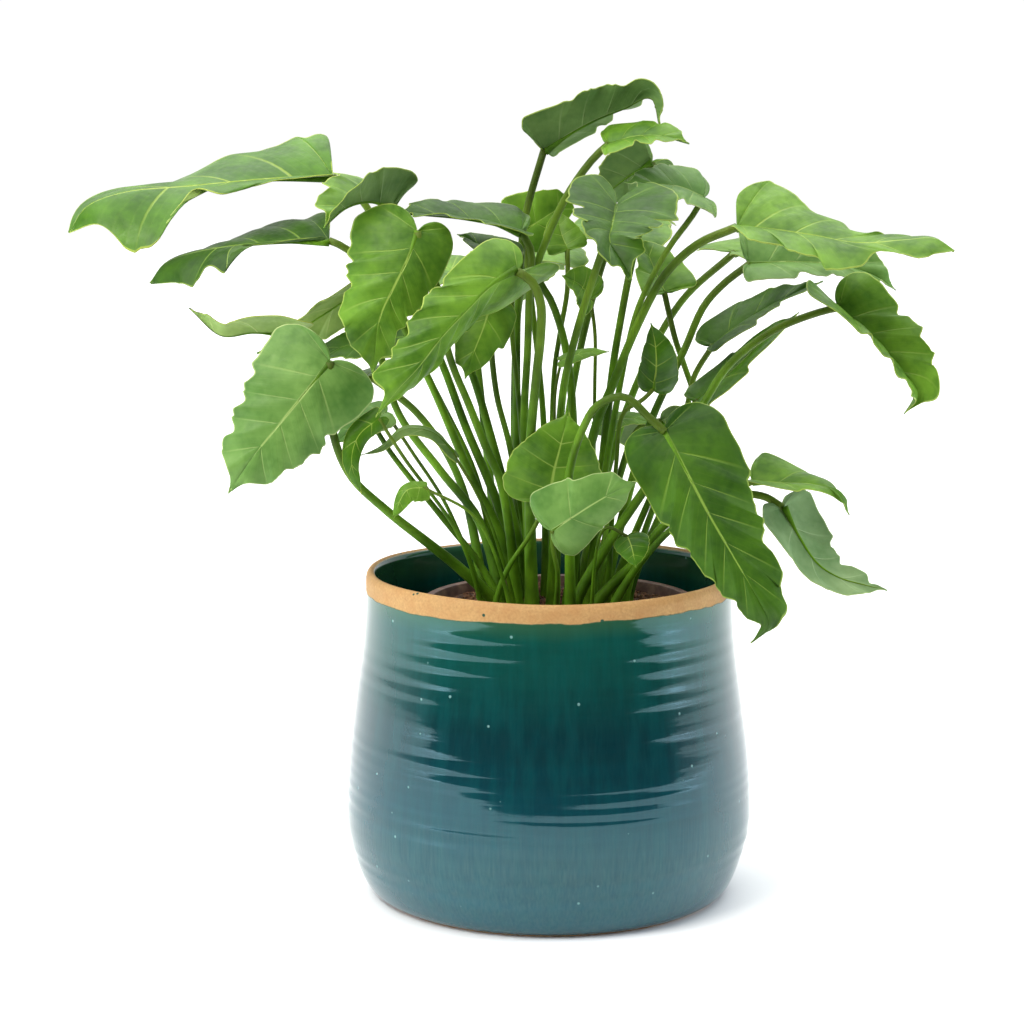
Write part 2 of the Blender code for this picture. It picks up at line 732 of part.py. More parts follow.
class Form:
    """A leaf's blade in space: its spine, and which way each side leaves it."""

    def __init__(self, leaf):
        self.leaf = leaf
        self.spine = walk(smooth([place(p) for p in leaf.rib], 12), FORMS)
        self.length = sum((b - a).length for a, b in zip(self.spine, self.spine[1:]))
        ends = [self.spine[0], *self.spine, self.spine[-1]]
        self.tangents = [(b - a).normalized() for a, b in zip(ends, ends[2:])]
        self.sides = []
        self.widths = []
        start = round(WIDEST * (FORMS - 1))
        for side, widest in ((LEFT, leaf.left), (RIGHT, leaf.right)):
            tangent = self.tangents[start]
            chord = place(widest) - self.spine[start]
            chord -= tangent * chord.dot(tangent)
            half = math.radians(leaf.droop) / 2
            self.widths.append(chord.length * half / math.sin(half))
            up = self.upward(side, tangent, chord.normalized())
            direction = chord.normalized() * math.cos(half) + up * math.sin(half)
            back = carried(direction, self.tangents[start::-1])[::-1]
            self.sides.append(back[:-1] + carried(direction, self.tangents[start:]))

    @staticmethod
    def upward(side, tangent, direction):
        """The way that the upper face looks on this side."""
        return tangent.cross(direction) if side == LEFT else direction.cross(tangent)

    def point(self, side, along, across, lift):
        """Point of the blade: along and across are shares of its length and half width."""
        leaf = self.leaf
        station = min(max(along, 0.0), 1.0) * (FORMS - 1)
        i = min(int(station), FORMS - 2)
        part = station - i
        spot = self.spine[i].lerp(self.spine[i + 1], part)
        tangent = self.tangents[i].lerp(self.tangents[i + 1], part).normalized()
        direction = self.sides[side][i].lerp(self.sides[side][i + 1], part).normalized()
        sink = math.radians(leaf.fall * max(along, 0.0))
        direction.rotate(Matrix.Rotation(-sink if side == LEFT else sink, 3, tangent))
        up = self.upward(side, tangent, direction)
        width = self.widths[side]
        bend = math.radians(leaf.droop) / width
        reach = across * width
        spot = spot + direction * (math.sin(bend * reach) / bend)
        spot = spot - up * ((1 - math.cos(bend * reach)) / bend) + up * (lift * leaf.wave * width)
        return spot + tangent * (min(along, 0.0) * self.length)


def margin(leaf, side):
    """Margin of one side: root of its vein, along, across and lift, as shares.

    It runs from the joint round the basal lobe to the tip. A lobe is a crest that hooks
    towards the tip, with a notch behind it.
    """
    draw = random.Random(leaf.name + "lr"[side])
    if leaf.drawn[side]:
        return outlined(leaf.drawn[side], draw)
    ear = leaf.ear[side] * draw.uniform(0.9, 1.1)
    points = [
        (0.0, 0.0, 0.0, 0.0),
        (0.0, -0.60 * ear, 0.13, 0.0),
        (0.0, -1.00 * ear, 0.46, 0.4),
        (0.0, -0.60 * ear, 0.86, -0.5),
    ]
    if leaf.lobes == 0:
        points += [
            (0.04, 0.10, 1.00, 0.3),
            (0.25, 0.38, 0.90, -0.3),
            (0.50, 0.64, 0.64, 0.3),
            (0.74, 0.84, 0.32, -0.2),
        ]
    else:
        points.append((0.0, 0.04, 1.00, 0.6))
    for lobe in range(leaf.lobes):
        pitch = LOBED / max(leaf.lobes - 0.5, 1)
        crest = LAST_CREST - pitch * (leaf.lobes - 1 - lobe)
        root = max(crest - VEIN_LEAD, 0.0)
        shift = draw.uniform(-0.03, 0.03)
        cut = leaf.cut * draw.uniform(0.3, 1.7)
        heave = draw.uniform(-0.7, 0.7)
        points.append((root, crest + shift, envelope(leaf, crest) * draw.uniform(0.88, 1.06),
                       heave - 0.3))
        if lobe < leaf.lobes - 1:
            notch = crest + NOTCH_REACH
            points.append((root, notch + shift, envelope(leaf, notch) * (1 - cut), heave + 0.3))
            belly = crest + BELLY * pitch
            points.append((max(belly - VEIN_LEAD, 0.0), belly, envelope(leaf, belly) * (1 - cut / 6),
                           heave / 2))
        else:
            points.append((root, 0.875, 0.20, 0.6))
    points.append((0.86, 0.93, 0.08, 0.0))
    points.append((1.0, 1.0, 0.0, 0.0))
    return points


def outlined(outline, draw):
    """Margin through hand-drawn points, its veins leaving the midrib behind them."""
    points = [(0.0, 0.0, 0.0, 0.0)]
    for along, across in outline:
        root = max(points[-1][0], min(along - VEIN_LEAD, LAST_CREST))
        points.append((root, along, across, draw.uniform(-1.0, 1.0)))
    points.append((1.0, 1.0, 0.0, 0.0))
    return points


def envelope(leaf, along):
    """Half width of the blade beside the widest, before its lobes are cut."""
    return 1.0 - leaf.taper * (max(along - TAPER_FROM, 0.0) / TAPER_RUN) ** TAPER_POWER


def ribbon_faces(bm, near, far, side):
    """Triangles between two columns of vertices that may share some of them."""
    for i in range(len(near) - 1):
        ring = [near[i], far[i], far[i + 1], near[i + 1]]
        for corners in ((ring[0], ring[1], ring[2]), (ring[0], ring[2], ring[3])):
            if len(set(corners)) == 3:
                bm.faces.new(corners if side == LEFT else corners[::-1])


def blade_sheet(form):
    """The blade as an open sheet of triangles, its upper face up."""
    bm = bmesh.new()
    margins = [margin(form.leaf, side) for side in (LEFT, RIGHT)]
    roots = sorted({point[0] for points in margins for point in points})
    spine = {root: bm.verts.new(form.point(LEFT, root, 0.0, 0.0)) for root in roots}
    for side, points in enumerate(margins):
        columns = []
        passed = 0.0
        for root, along, across, lift in points:
            # The other side's veins leave the midrib here too, so both sides share its corners
            for between in [r for r in roots if passed < r < root]:
                columns.append((spine[between], columns[-1][1]))
            passed = root
            edge = spine[root] if across == 0.0 else bm.verts.new(form.point(side, along, across, lift))
            columns.append((spine[root], edge))
        for near, far in zip(columns, columns[1:]):
            ribbon_faces(bm, near, far, side)
    return bm


def petiole_line(form):
    """Points and radii of the petiole, from its foot in the soil into the midrib."""
    leaf = form.leaf
    joint = leaf.rib[0]
    foot = Vector((*leaf.foot, SOIL_TOP))
    seen = [front(foot), *[p[:2] for p in leaf.stalk], joint[:2]]
    run = [0.0]
    for a, b in zip(seen, seen[1:]):
        run.append(run[-1] + math.dist(a, b))
    points = [foot + Vector((0, 0, COLLAR_TOP))]
    for p, gone in zip(leaf.stalk, run[1:]):
        depth = p[2] if len(p) == 3 else foot.y + (joint[2] - foot.y) * gone / run[-1]
        points.append(place((p[0], p[1], depth)))
    points.append(place(joint))
    points = walk(smooth(points, 10), PETIOLE_STATIONS + len(leaf.stalk))
    count = len(points) - 1
    radii = []
    for k in range(count + 1):
        slimmed = min(k / count / SLIM_BY, 1.0) ** SLIM_POWER
        radii.append((FOOT_RADIUS + (NECK_RADIUS - FOOT_RADIUS) * slimmed) * leaf.girth)
    below = [foot - Vector((0, 0, STEM_SINK)), foot + Vector((0, 0, COLLAR))]
    aim = (points[-1] - points[-2]).normalized()
    if aim.angle(form.tangents[0]) < SHARPEST_BEND:
        end = form.point(LEFT, RIB_REACH / form.length, 0.0, 0.0)
    else:
        end = points[-1] + aim * NODE_REACH
    return [*below, *points, end], [radii[0], radii[0], *radii, RIB_RADIUS * leaf.girth]


def front(point):
    """Across and up of a space point on the front elevation."""
    share = EYE_BACK / (EYE_BACK + point.y)
    return EYE_ACROSS + (point.x - EYE_ACROSS) * share, EYE_UP - (EYE_UP - point.z) * share


def material(name, colour, roughness):
    """A plain finish."""
    made = bpy.data.materials.new(name)
    made.use_nodes = True
    shader = made.node_tree.nodes["Principled BSDF"]
    shader.inputs["Base Color"].default_value = (*colour, 1.0)
    shader.inputs["Roughness"].default_value = roughness
    return made


def collection(name):
    """A new collection in the scene."""
    made = bpy.data.collections.new(name)
    bpy.context.scene.collection.children.link(made)
    return made


def add_object(name, data, home, finish=None):
    """An object for this data, in its collection and with its finish."""
    ob = bpy.data.objects.new(name, data)
    home.objects.link(ob)
    if finish:
        data.materials.append(finish)
    return ob


def mesh_of(bm, name):
    """The finished mesh of a bmesh."""
    mesh = bpy.data.meshes.new(name)
    bm.to_mesh(mesh)
    bm.free()
    return mesh


def evaluated_mesh(ob, name):
    """A mesh of the object as its modifiers leave it, with loose caps welded."""
    depsgraph = bpy.context.evaluated_depsgraph_get()
    mesh = bpy.data.meshes.new_from_object(ob.evaluated_get(depsgraph))
    mesh.name = name
    bm = bmesh.new()
    bm.from_mesh(mesh)
    bmesh.ops.remove_doubles(bm, verts=bm.verts, dist=MERGE)
    bm.to_mesh(mesh)
    bm.free()
    return mesh


def tube(name, points, radii, sides, home):
    """A stem through the points, as a closed mesh object."""
    curve = bpy.data.curves.new(name, "CURVE")
    curve.dimensions = "3D"
    curve.bevel_depth = 1.0
    curve.bevel_resolution = sides // 2 - 2
    curve.use_fill_caps = True
    spline = curve.splines.new("POLY")
    spline.points.add(len(points) - 1)
    for spot, point, radius in zip(spline.points, points, radii):
        spot.co = (*point, 1.0)
        spot.radius = radius
    bent = add_object(name, curve, home)
    ob = add_object(name + "_tube", evaluated_mesh(bent, name), home)
    bpy.data.objects.remove(bent)
    return ob


def turned(name, profile, sides, home, finish):
    """A turned piece: the profile of radii and heights, spun about the vertical axis."""
    mesh = bpy.data.meshes.new(name)
    points = [(radius, 0.0, height) for radius, height in profile]
    mesh.from_pydata(points, [(i, i + 1) for i in range(len(points) - 1)], [])
    ob = add_object(name, mesh, home, finish)
    screw = ob.modifiers.new("Turn", "SCREW")
    screw.axis = "Z"
    screw.steps = sides
    screw.render_steps = sides
    screw.use_merge_vertices = True
    screw.merge_threshold = MERGE
    screw.use_smooth_shade = True
    return ob


def cover_pot(home):
    """The glazed stoneware cover pot, its lip rounded and its foot flat."""
    middle = POT_OUTER[-1][0] - POT_WALL / 2
    lip = []
    for degrees in (135, 90, 45):
        turn = math.radians(degrees)
        lip.append((middle + POT_WALL / 2 * math.cos(turn),
                    POT_HEIGHT - (POT_HEIGHT - POT_OUTER[-1][1]) * (1 - math.sin(turn))))
    profile = [(0.0, POT_FLOOR), *POT_INNER, *lip, *reversed(POT_OUTER), (0.0, 0.0)]
    finish = material("glazed_stoneware", *GLAZE)
    return turned("ceramic_pot", profile, POT_SIDES, home, finish)


def liner_radius(height):
    """Outer radius of the nursery pot's wall at a height above its foot."""
    return LINER_BASE_RADIUS + (LINER_TOP_RADIUS - LINER_BASE_RADIUS) * height / LINER_HEIGHT


def nursery_pot(home, cutters):
    """The thin tapered nursery pot with its turned-out rim and its drain holes."""
    wall = LINER_WALL
    rim = LINER_HEIGHT - LINER_RIM_HEIGHT
    inner = [(0.0, wall), (LINER_BASE_RADIUS - wall, wall), (liner_radius(rim) - wall, rim),
             (LINER_TOP_RADIUS - wall, LINER_HEIGHT - LINER_EDGE)]
    outer = [(LINER_TOP_RADIUS, LINER_HEIGHT), (LINER_RIM_RADIUS - LINER_EDGE, LINER_HEIGHT),
             (LINER_RIM_RADIUS, LINER_HEIGHT - LINER_EDGE), (LINER_RIM_RADIUS, rim),
             (liner_radius(rim), rim), (LINER_BASE_RADIUS, 0.0), (0.0, 0.0)]
    finish = material("nursery_pot_plastic", *PLASTIC)
    ob = turned("nursery_pot", inner + outer, LINER_SIDES, home, finish)
    ob.location = (*LINER_AT, LINER_FOOT)
    holes = collection("drain_holes")
    cutters.children.link(holes)
    bpy.context.scene.collection.children.unlink(holes)
    for k in range(DRAIN_HOLES):
        turn = Matrix.Rotation(2 * math.pi * k / DRAIN_HOLES, 4, "Z")
        spot = ob.location + turn @ Vector((DRAIN_CIRCLE, 0, 0))
        hole_cutter("drain_hole", spot, DRAIN_RADIUS, 4 * wall, holes)
    cut_holes(ob, holes)
    return ob


def hole_cutter(name, spot, radius, depth, home):
    """An upright prism that cuts a hole round this spot."""
    bm = bmesh.new()
    bmesh.ops.create_cone(bm, cap_ends=True, segments=STEM_SIDES, radius1=radius, radius2=radius,
                          depth=depth)
    ob = add_object(name, mesh_of(bm, name), home)
    ob.location = spot
    ob.hide_render = True
    ob.display_type = "WIRE"
    return ob


def cut_holes(ob, cutters):
    """Cut a collection of cutters out of the object."""
    cut = ob.modifiers.new("Holes", "BOOLEAN")
    cut.operation = "DIFFERENCE"
    cut.operand_type = "COLLECTION"
    cut.collection = cutters


def soil(home, cutters):
    """The potting soil, which fills the nursery pot and has a plain hole for each petiole."""
    foot = LINER_FOOT + LINER_WALL + GAP
    side = LINER_WALL + 2 * GAP
    low = LINER_BASE_RADIUS - side
    high = liner_radius(SOIL_TOP - LINER_FOOT) - side
    ring = SOIL_CROWN_RING
    profile = [(0.0, SOIL_TOP + SOIL_CROWN), (ring * high, SOIL_TOP + ring * SOIL_CROWN),
               (high, SOIL_TOP), (low, foot), (0.0, foot)]
    finish = material("potting_soil", *PEAT)
    ob = turned("potting_soil", profile, SOIL_SIDES, home, finish)
    ob.location = (*LINER_AT, 0.0)
    holes = collection("stem_holes")
    cutters.children.link(holes)
    bpy.context.scene.collection.children.unlink(holes)
    for leaf in LEAVES:
        radius = (FOOT_RADIUS * leaf.girth + GAP) / math.cos(math.pi / STEM_SIDES)
        bottom = SOIL_TOP - STEM_SINK - GAP
        top = SOIL_TOP + 2 * SOIL_CROWN
        spot = Vector((*leaf.foot, (bottom + top) / 2))
        hole_cutter("stem_hole", spot, radius, top - bottom, holes)
    cut_holes(ob, holes)
    return ob


def leaf_object(leaf, home, finish):
    """One leaf: its blade, thickened, and its petiole, joined as one body."""
    form = Form(leaf)
    sheet = add_object(leaf.name + "_sheet", mesh_of(blade_sheet(form), leaf.name), home)
    thick = sheet.modifiers.new("Thickness", "SOLIDIFY")
    thick.thickness = BLADE_THICK
    thick.offset = 0.0
    thick.use_even_offset = True
    sides = THIN_STEM_SIDES if leaf.girth < THIN_GIRTH else STEM_SIDES
    petiole = tube(leaf.name, *petiole_line(form), sides, home)
    join = sheet.modifiers.new("Petiole", "BOOLEAN")
    join.operation = "UNION"
    join.object = petiole
    ob = add_object(leaf.name, evaluated_mesh(sheet, leaf.name), home, finish)
    ob.data.shade_smooth()
    ob.data.set_sharp_from_angle(angle=SHARP_FOLD)
    for helper in (sheet, petiole):
        bpy.data.objects.remove(helper)
    return ob


def main():
    for ob in list(bpy.data.objects):
        bpy.data.objects.remove(ob)
    home = collection(COLLECTION)
    cutters = collection(CUTTERS)
    cover_pot(home)
    nursery_pot(home, cutters)
    soil(home, cutters)
    for leaf in LEAVES:
        leaf_object(leaf, home, material(leaf.name, *FOLIAGE))


main()
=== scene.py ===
"""Looks of a philodendron xanadu in its nursery pot, standing in a glazed stoneware pot.

Metres, +Z up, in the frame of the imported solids. The plant faces -Y.
"""

import math
import random
from typing import NamedTuple

import bmesh
import bpy
from mathutils import Matrix, Vector, noise


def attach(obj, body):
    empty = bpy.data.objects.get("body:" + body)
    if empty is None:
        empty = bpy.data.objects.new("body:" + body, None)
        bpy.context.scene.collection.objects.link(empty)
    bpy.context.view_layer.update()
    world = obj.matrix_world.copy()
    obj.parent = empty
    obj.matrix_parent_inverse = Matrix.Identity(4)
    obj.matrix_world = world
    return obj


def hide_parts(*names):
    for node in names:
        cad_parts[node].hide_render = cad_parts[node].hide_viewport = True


bl_info = {
    "name": "Potted philodendron xanadu",
    "version": (1, 0, 0),
    "blender": (4, 5, 0),
    "location": "3D View > Sidebar > Xanadu",
    "description": "Builds a potted philodendron xanadu over its frame of solids",
    "category": "Object",
}

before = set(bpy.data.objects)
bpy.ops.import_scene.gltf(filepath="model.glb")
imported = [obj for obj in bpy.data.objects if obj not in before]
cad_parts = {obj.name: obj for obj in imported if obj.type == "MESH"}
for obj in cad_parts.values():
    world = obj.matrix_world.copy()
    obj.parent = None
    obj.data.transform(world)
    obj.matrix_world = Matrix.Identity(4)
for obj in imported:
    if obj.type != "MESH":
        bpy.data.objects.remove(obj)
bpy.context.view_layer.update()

MERGE = 0.00003  # between points that are one point
WALL_GAP = 0.0003  # between two pieces that touch

# Cover pot: radius and height of its outer side, from the foot up
POT_OUTER = (
    (0.1170, 0.0000),
    (0.1243, 0.0045),
    (0.1300, 0.0130),
    (0.1363, 0.0310),
    (0.1400, 0.0480),
    (0.1406, 0.0700),
    (0.1387, 0.1000),
    (0.1340, 0.1340),
    (0.1294, 0.1680),
    (0.1272, 0.2000),
    (0.1270, 0.2210),
)
POT_HEIGHT = 0.2270
POT_WALL = 0.0072
POT_FLOOR = 0.0125
POT_INNER = (
    (0.1150, POT_FLOOR),
    (0.1320, 0.0420),
    (0.1330, 0.0760),
    (0.1268, 0.1340),
    (0.1208, 0.1800),
    (0.1198, 0.2210),
)
POT_STEPS = 180
LIP_STEPS = 12
POT_STAND = 0.1158  # radius of the flat that it stands on
RIDGES_FROM = 0.012  # ridges run round the pot between these heights
RIDGES_TO = 0.214
RIM_FROM = 0.215  # the rim dips a little above this height
UPPER_FROM = 0.15
UPPER_SIDE = 0.1205  # the outer side lies beyond this radius above UPPER_FROM
LOWER_SIDE = 0.1335  # and beyond this one below it
SWAY_MEAN = 0.0058  # what the noise adds to the height of the glaze line on average

# Nursery pot, a little off the middle of the cover pot
LINER_AT = Vector((0.0070, 0.0000, 0.0))
LINER_FOOT = POT_FLOOR + WALL_GAP
LINER_HEIGHT = 0.1930
LINER_RIM_RADIUS = 0.0950
LINER_RIM_HEIGHT = 0.0130
LINER_TOP_RADIUS = 0.0905
LINER_BASE_RADIUS = 0.0680
LINER_WALL = 0.0016
LINER_STEPS = 120
LINER_CORNER = 0.004
DRAIN_HOLES = 6
DRAIN_RADIUS = 0.0050
DRAIN_CIRCLE = 0.0480

# Potting soil
SOIL_TOP = 0.2005
SOIL_CROWN = 0.0045
SOIL_STEPS = 128
SOIL_RINGS = 40
STEM_SINK = 0.0140

# The eye that the front elevation is drawn for, and the camera's angle and lens
EYE_ACROSS = -0.0257
EYE_BACK = 2.0500
EYE_UP = 0.6100
EYE_PITCH = 9.5
EYE_LENS = 106.0

# Blades and petioles
WIDEST = 0.15
FORMS = 48
FOOT_RADIUS = 0.0042
NECK_RADIUS = 0.0027
RIB_RADIUS = 0.0011
SLIM_BY = 0.625
SLIM_POWER = 0.8
COLLAR_TOP = 0.0040
LAST_CREST = 0.84
LOBED = 0.62
VEIN_LEAD = 0.19
NOTCH_REACH = 0.045
BELLY = 0.55
TAPER_FROM = 0.10
TAPER_RUN = 0.75
TAPER_POWER = 1.5
MARGIN_STEPS = 9
FRILL = 0.050  # how far the margin wanders, as a share of the half width
HOOK = 0.055  # how far the point of a lobe stands out, as a share of the half width
HOOK_WIDTH = 0.14
SHARES = (0.0, 0.03, 0.10, 0.22, 0.36, 0.52, 0.68, 0.82, 0.92, 0.975, 1.0)
STALK_STATIONS = 44
RIB_STATIONS = 30
STALK_SIDES = 12
RIB_SIDES = 8
GROOVE = 0.16  # depth of the petiole's groove, as a share of its radius
GROOVE_WIDTH = 0.12
SHEATH = 0.35  # how much thicker the petiole is at the soil
SHEATH_HEIGHT = 0.016
RIB_SINK = 0.62  # how deep the midrib lies under the blade, as a share of its radius
BROAD = 0.045  # half width from which a blade has its full quilting and ripple
WAX_IOR = 1.42

LEFT = 0
RIGHT = 1
UPPER = 0
UNDER = 1
STALK = 2

# Bright leaves: partly the yellower green of young leaves, partly painted light that stands in for light
# shining through the blade
BRIGHT = {"leaf_left_bright", "leaf_front_tiny", "leaf_left_top", "leaf_cupped", "leaf_left_small",
          "leaf_strap_left", "leaf_right_rising"}
# Deep leaves: partly the darker green of older leaves, partly painted shade for leaves that lie in shadow
# behind others
DEEP = {"leaf_centre", "leaf_right_grey", "leaf_front_hanging", "leaf_left_upper", "leaf_middle_dark",
        "leaf_left_shaded", "leaf_inner_grey", "leaf_back_low_left"}
PALE = {"leaf_front_low", "leaf_left_low_grey", "leaf_left_lower", "leaf_right_lower",
        "leaf_right_middle", "leaf_twisted"}

# Leaf colours: dark, light, vein and margin of the upper side, the same of the under side, gloss
LEAF_PAINTS = {
    "usual": (("#375e10", "#6f9a2a", "#9cb450", "#adbd56"),
              ("#4c6c30", "#75934c", "#9cae70", "#a3b556"), 0.38),
    # Young leaves, lighter and yellower: partly their own colour, partly painted light shining through the
    # blade
    "young": (("#30570c", "#54821a", "#a2b84c", "#c0cb56"),
              ("#6b8a3c", "#93ad5a", "#b4c07a", "#c3cf66"), 0.30),
    # Old leaves, darker: partly their own colour, partly painted shade for leaves in shadow
    "old": (("#1f4006", "#41680f", "#829e3e", "#98ad48"),
            ("#3f5c2c", "#617f45", "#8ba068", "#93a94c"), 0.42),
    "grey": (("#426a26", "#719648", "#9eb466", "#adba78"),
             ("#5c7c48", "#809a66", "#a4b684", "#a9b87c"), 0.40),
}
WHITE = "#ffffff"
COOL = "#d2e6ff"
FLOOR_FRONT = -0.85  # the pale floor ends here, out of the camera's view


class Leaf(NamedTuple):
    """One leaf. Its points are across, up and depth, as place() reads them."""

    name: str
    foot: tuple  # where the petiole leaves the soil, across and deep in plan
    stalk: tuple  # points that the petiole passes; a missing depth is worked out
    rib: tuple  # midrib from the joint to the tip
    left: tuple  # widest point of the left side, seen from above with the tip ahead
    right: tuple
    lobes: int = 4
    cut: float = 0.12  # depth of the notches, as a share of the half width
    taper: float = 0.62  # how much narrower the blade is where its last lobe ends
    ear: tuple = (0.08, 0.08)  # length of each basal lobe, as a share of the blade's
    droop: float = 30.0  # degrees by which each side turns down towards its margin
    fall: float = 0.0  # degrees by which both sides sink further from base to tip
    wave: float = 0.08  # height of the margin's waves, as a share of the half width
    girth: float = 1.0  # thickness of the petiole beside the usual one
    drawn: tuple = ((), ())  # margin of each side, along and across as shares


